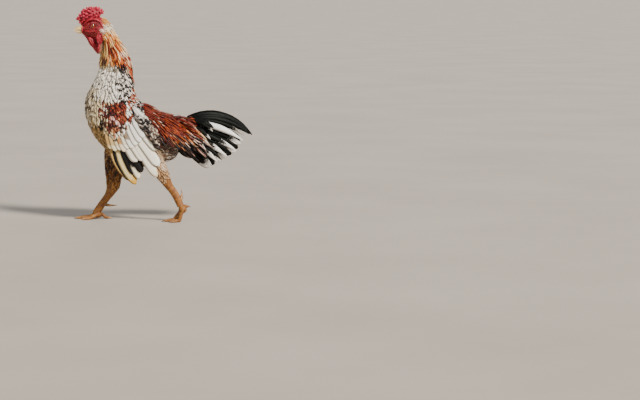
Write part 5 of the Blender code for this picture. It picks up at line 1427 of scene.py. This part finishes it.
# The tail is a bundle of stiff black quills under long curved sickles with a green gloss, some
# of them tipped or edged white, and one almost white. Each is fixed deep in the rump.
# Each sickle is its root, its bend and its tip in the side view, its width, how far out its root
# and its tip lie, where its tip colour begins, its main colour and the colour of its tip.
SICKLES = [
    ((45, 186), (112, 208), (161.8, 154.1), 15.0, 1.0, 5.0, 0.97, "050505", "0c0c0a"),
    ((46, 183), (108, 202), (158, 156), 13.0, 2.0, 6.5, 0.97, "050505", "0c0c0a"),
    ((46, 180), (110, 196), (156, 156), 13.0, 3.0, 9.0, 0.97, "060606", "0e0d0b"),
    ((46, 178), (104, 189), (148, 153), 9.5, 8.0, 11.0, 0.84, "070706", "b0aaa2"),
    ((46, 175), (97, 181), (144.5, 145), 11.5, 14.4, 20.0, 0.30, "0b0a09", "f6f4f0"),
    ((46, 178), (76, 184), (92, 168), 10.5, 13.2, 20.4, 0.95, "070706", "0e0d0b"),
    ((44, 169), (92, 170), (141, 138.5), 11.5, 12.4, 17.0, 0.86, "070706", "eeebe6"),
    ((43, 166), (88, 165), (136, 133), 11.5, 11.6, 16.5, 0.95, "060505", "100d0c"),
    ((42, 164), (86, 160), (133, 126.5), 11.5, 13.4, 19.5, 0.78, "080706", "f0ece6"),
    ((41, 161), (80, 156), (124, 122), 11.0, 12.8, 18.5, 0.93, "080706", "100d0c"),
    ((40, 158), (76, 151), (116, 116), 11.0, 14.0, 21.0, 0.72, "0a0807", "f0ece6"),
    ((39, 155), (72, 146), (106, 110), 11.0, 13.4, 20.0, 0.93, "0c0908", "140f0d"),
    ((38, 152), (68, 142), (99, 106), 11.0, 14.6, 21.5, 0.76, "0e0a09", "ece6de"),
    ((46, 178), (72, 184), (90, 162), 9.5, 14.2, 20.8, 0.92, "080706", "e6e0d8"),
    ((44, 172), (66, 172), (86, 148), 9.5, 15.2, 21.4, 0.88, "0c0a09", "d8d2ca"),
    ((42, 166), (62, 162), (84, 138), 8.5, 16.0, 21.8, 0.80, "100c0a", "cfc8be"),
    ((40, 160), (58, 154), (78, 128), 8.5, 16.8, 22.0, 0.86, "120d0b", "cfc8be"),
    ((38, 150), (58, 138), (88, 101), 10.0, 12.0, 18.0, 0.90, "100c0a", "d8d2ca"),
    ((36, 146), (52, 132), (76, 104), 10.0, 9.0, 14.0, 0.93, "110c0a", "2a201c"),
    ((28, 144), (42, 126), (66, 107), 11.0, 12.0, 13.0, 0.90, "120d0b", "2a201c"),
    ((24, 140), (34, 124), (52, 113), 11.0, 11.0, 12.0, 0.80, "16100d", "5a4c42"),
]
SICKLE_TIP = (0.4, 0.62, 0.8, 0.93, 1.0, 1.0, 0.98, 0.92, 0.82, 0.64, 0.4, 0.1)
# The roots, the bends and the tips of the straight quills lie on these three lines, top to bottom.
STRAIGHT_QUILLS = [
    ((48, 174), (40, 154), (35, 140)), ((95, 172), (78, 146), (56, 120)),
    ((140, 144), (133, 125), (112, 113), (85, 97)),
]
tail_finish = plumage("tail_plumage", 0.44, 0.0, 0.0, 0.3, 0.10, 0.0)
gloss = tail_finish.node_tree.nodes["Principled BSDF"].inputs
gloss["Specular Tint"].default_value = (0.92, 1.0, 0.93, 1.0)
gloss["Specular IOR Level"].default_value = 0.12
pale_tipped = np.array([0, 1, 0, 1, 0, 1, 1, 0, 1])
straight = len(pale_tipped)
share = np.linspace(0, 1, straight)
root, bend, tip = (spline(line, share * (len(line) - 1)) for line in STRAIGHT_QUILLS)
straight_t = np.linspace(0, 1, len(QUILL_TIP))[None, :]
straight_flat = arc(root[:, None], bend[:, None], tip[:, None], straight_t[..., None])
straight_colours = (np.tile(shades(["0c0908"]), (straight, 1)), shades(("14100e", "e6e0d8"))[pale_tipped],
                    np.where(pale_tipped == 1, 0.82, 0.95))
root, bend, tip, wide, near_out, far_out, start, main, tips = zip(*SICKLES)
curved_t = np.linspace(0, 1, len(SICKLE_TIP))[None, :]
curved_flat = arc(*(np.array(ends, float)[:, None] for ends in (root, bend, tip)), curved_t[..., None])
near_out, far_out = np.minimum(near_out, 7.5)[:, None], np.array(far_out)[:, None]
coat = Coat()
for side in (-1, 1):
    layer = 4 * share[:, None]
    out = side * (1.4 + 1.1 * layer + 0.9 * layer * straight_t)
    path = np.stack([straight_flat[..., 0], out, straight_flat[..., 1]], -1)
    normal = np.broadcast_to(np.array([0.0, side, 0.12]), path.shape)
    half = widths(QUILL_TIP, 8.6, straight, 0.01)
    coat.add(path, normal, half, straight_colours, wide=QUILL_WIDE, thick=0.5, camber=0.12)
    out = side * (near_out + (far_out - near_out) * np.minimum(curved_t * 1.6, 1))
    path = np.stack([curved_flat[..., 0], out, curved_flat[..., 1]], -1)
    normal = np.broadcast_to(np.array([0.0, side, 0.25]), path.shape)
    half = widths(SICKLE_TIP, np.array(wide) / 2, len(SICKLES), 0.02)
    colours = shades(main), shades(tips), np.array(start)
    coat.add(path, normal, half, colours, wide=(-1, -0.5, 0, 0.5, 1), thick=0.5, camber=0.28)
coat.make("tail_feathers", tail_finish, "plumage_tail", "tail")


# Short loose feathers cover the thighs down to the hocks: dark brown and ochre on the leg that
# reaches forward, tan and cream on the other.
THIGH_PATCHES = {
    1: [
        (-92, 118, 16, 12, "94683a", "c49a60", 0.35, "3a2012"),
        (-98, 97, 12, 13, "4a2c14", "8c6030", 0.50, "1c1008"),
        (-80, 99, 12, 13, "7a4c1e", "b07c3a", 0.40, "2a180c"),
        (-92, 74, 14, 9, "744518", "b07c3c", 0.40, "28160a"),
        (-93, 60, 14, 7, "94602a", "c08c4c", 0.12, "4a2a12"),
    ],
    -1: [
        (-48, 128, 24, 16, "a8875a", "d4bc8e", 0.15, "5a3a20"),
        (-20, 112, 14, 14, "a08060", "cfb494", 0.15, "5a3a26"),
        (6, 98, 10, 10, "d0b090", "ecd8c0", 0.10, "8a5c38"),
        (-2, 84, 14, 10, "a07850", "cca880", 0.20, "5c3c24"),
    ],
}
TRIES = 7000
for side, word in ((-1, "left"), (1, "right")):
    form = thighs[side]
    place = luck.uniform(0.2, 4.95, TRIES)
    angle = luck.uniform(-180, 180, TRIES)
    kept = scattered(form.at(place, angle), 3.3)
    place, angle = place[kept], angle[kept]
    length = luck.uniform(9.5, 14.5, len(kept)) * np.clip((5.6 - place) / 1.5, 0.45, 1)
    top, drift = luck.uniform(0.2, 1.4, len(kept)), luck.normal(0, 9, len(kept))
    path, normal = laid(form, place, angle, -length, -1.8, top, 6, drift, 0.8)
    colours = worn(THIGH_PATCHES[side], path[:, -2], luck)
    half = widths(DOWN_TIP, luck.uniform(1.9, 2.8, len(kept)), len(kept))
    coat = Coat()
    coat.add(path, normal, half, colours, length, homes(angle, place / 5))
    coat.make("thigh_feathers_" + word, body_down, "plumage_thigh")
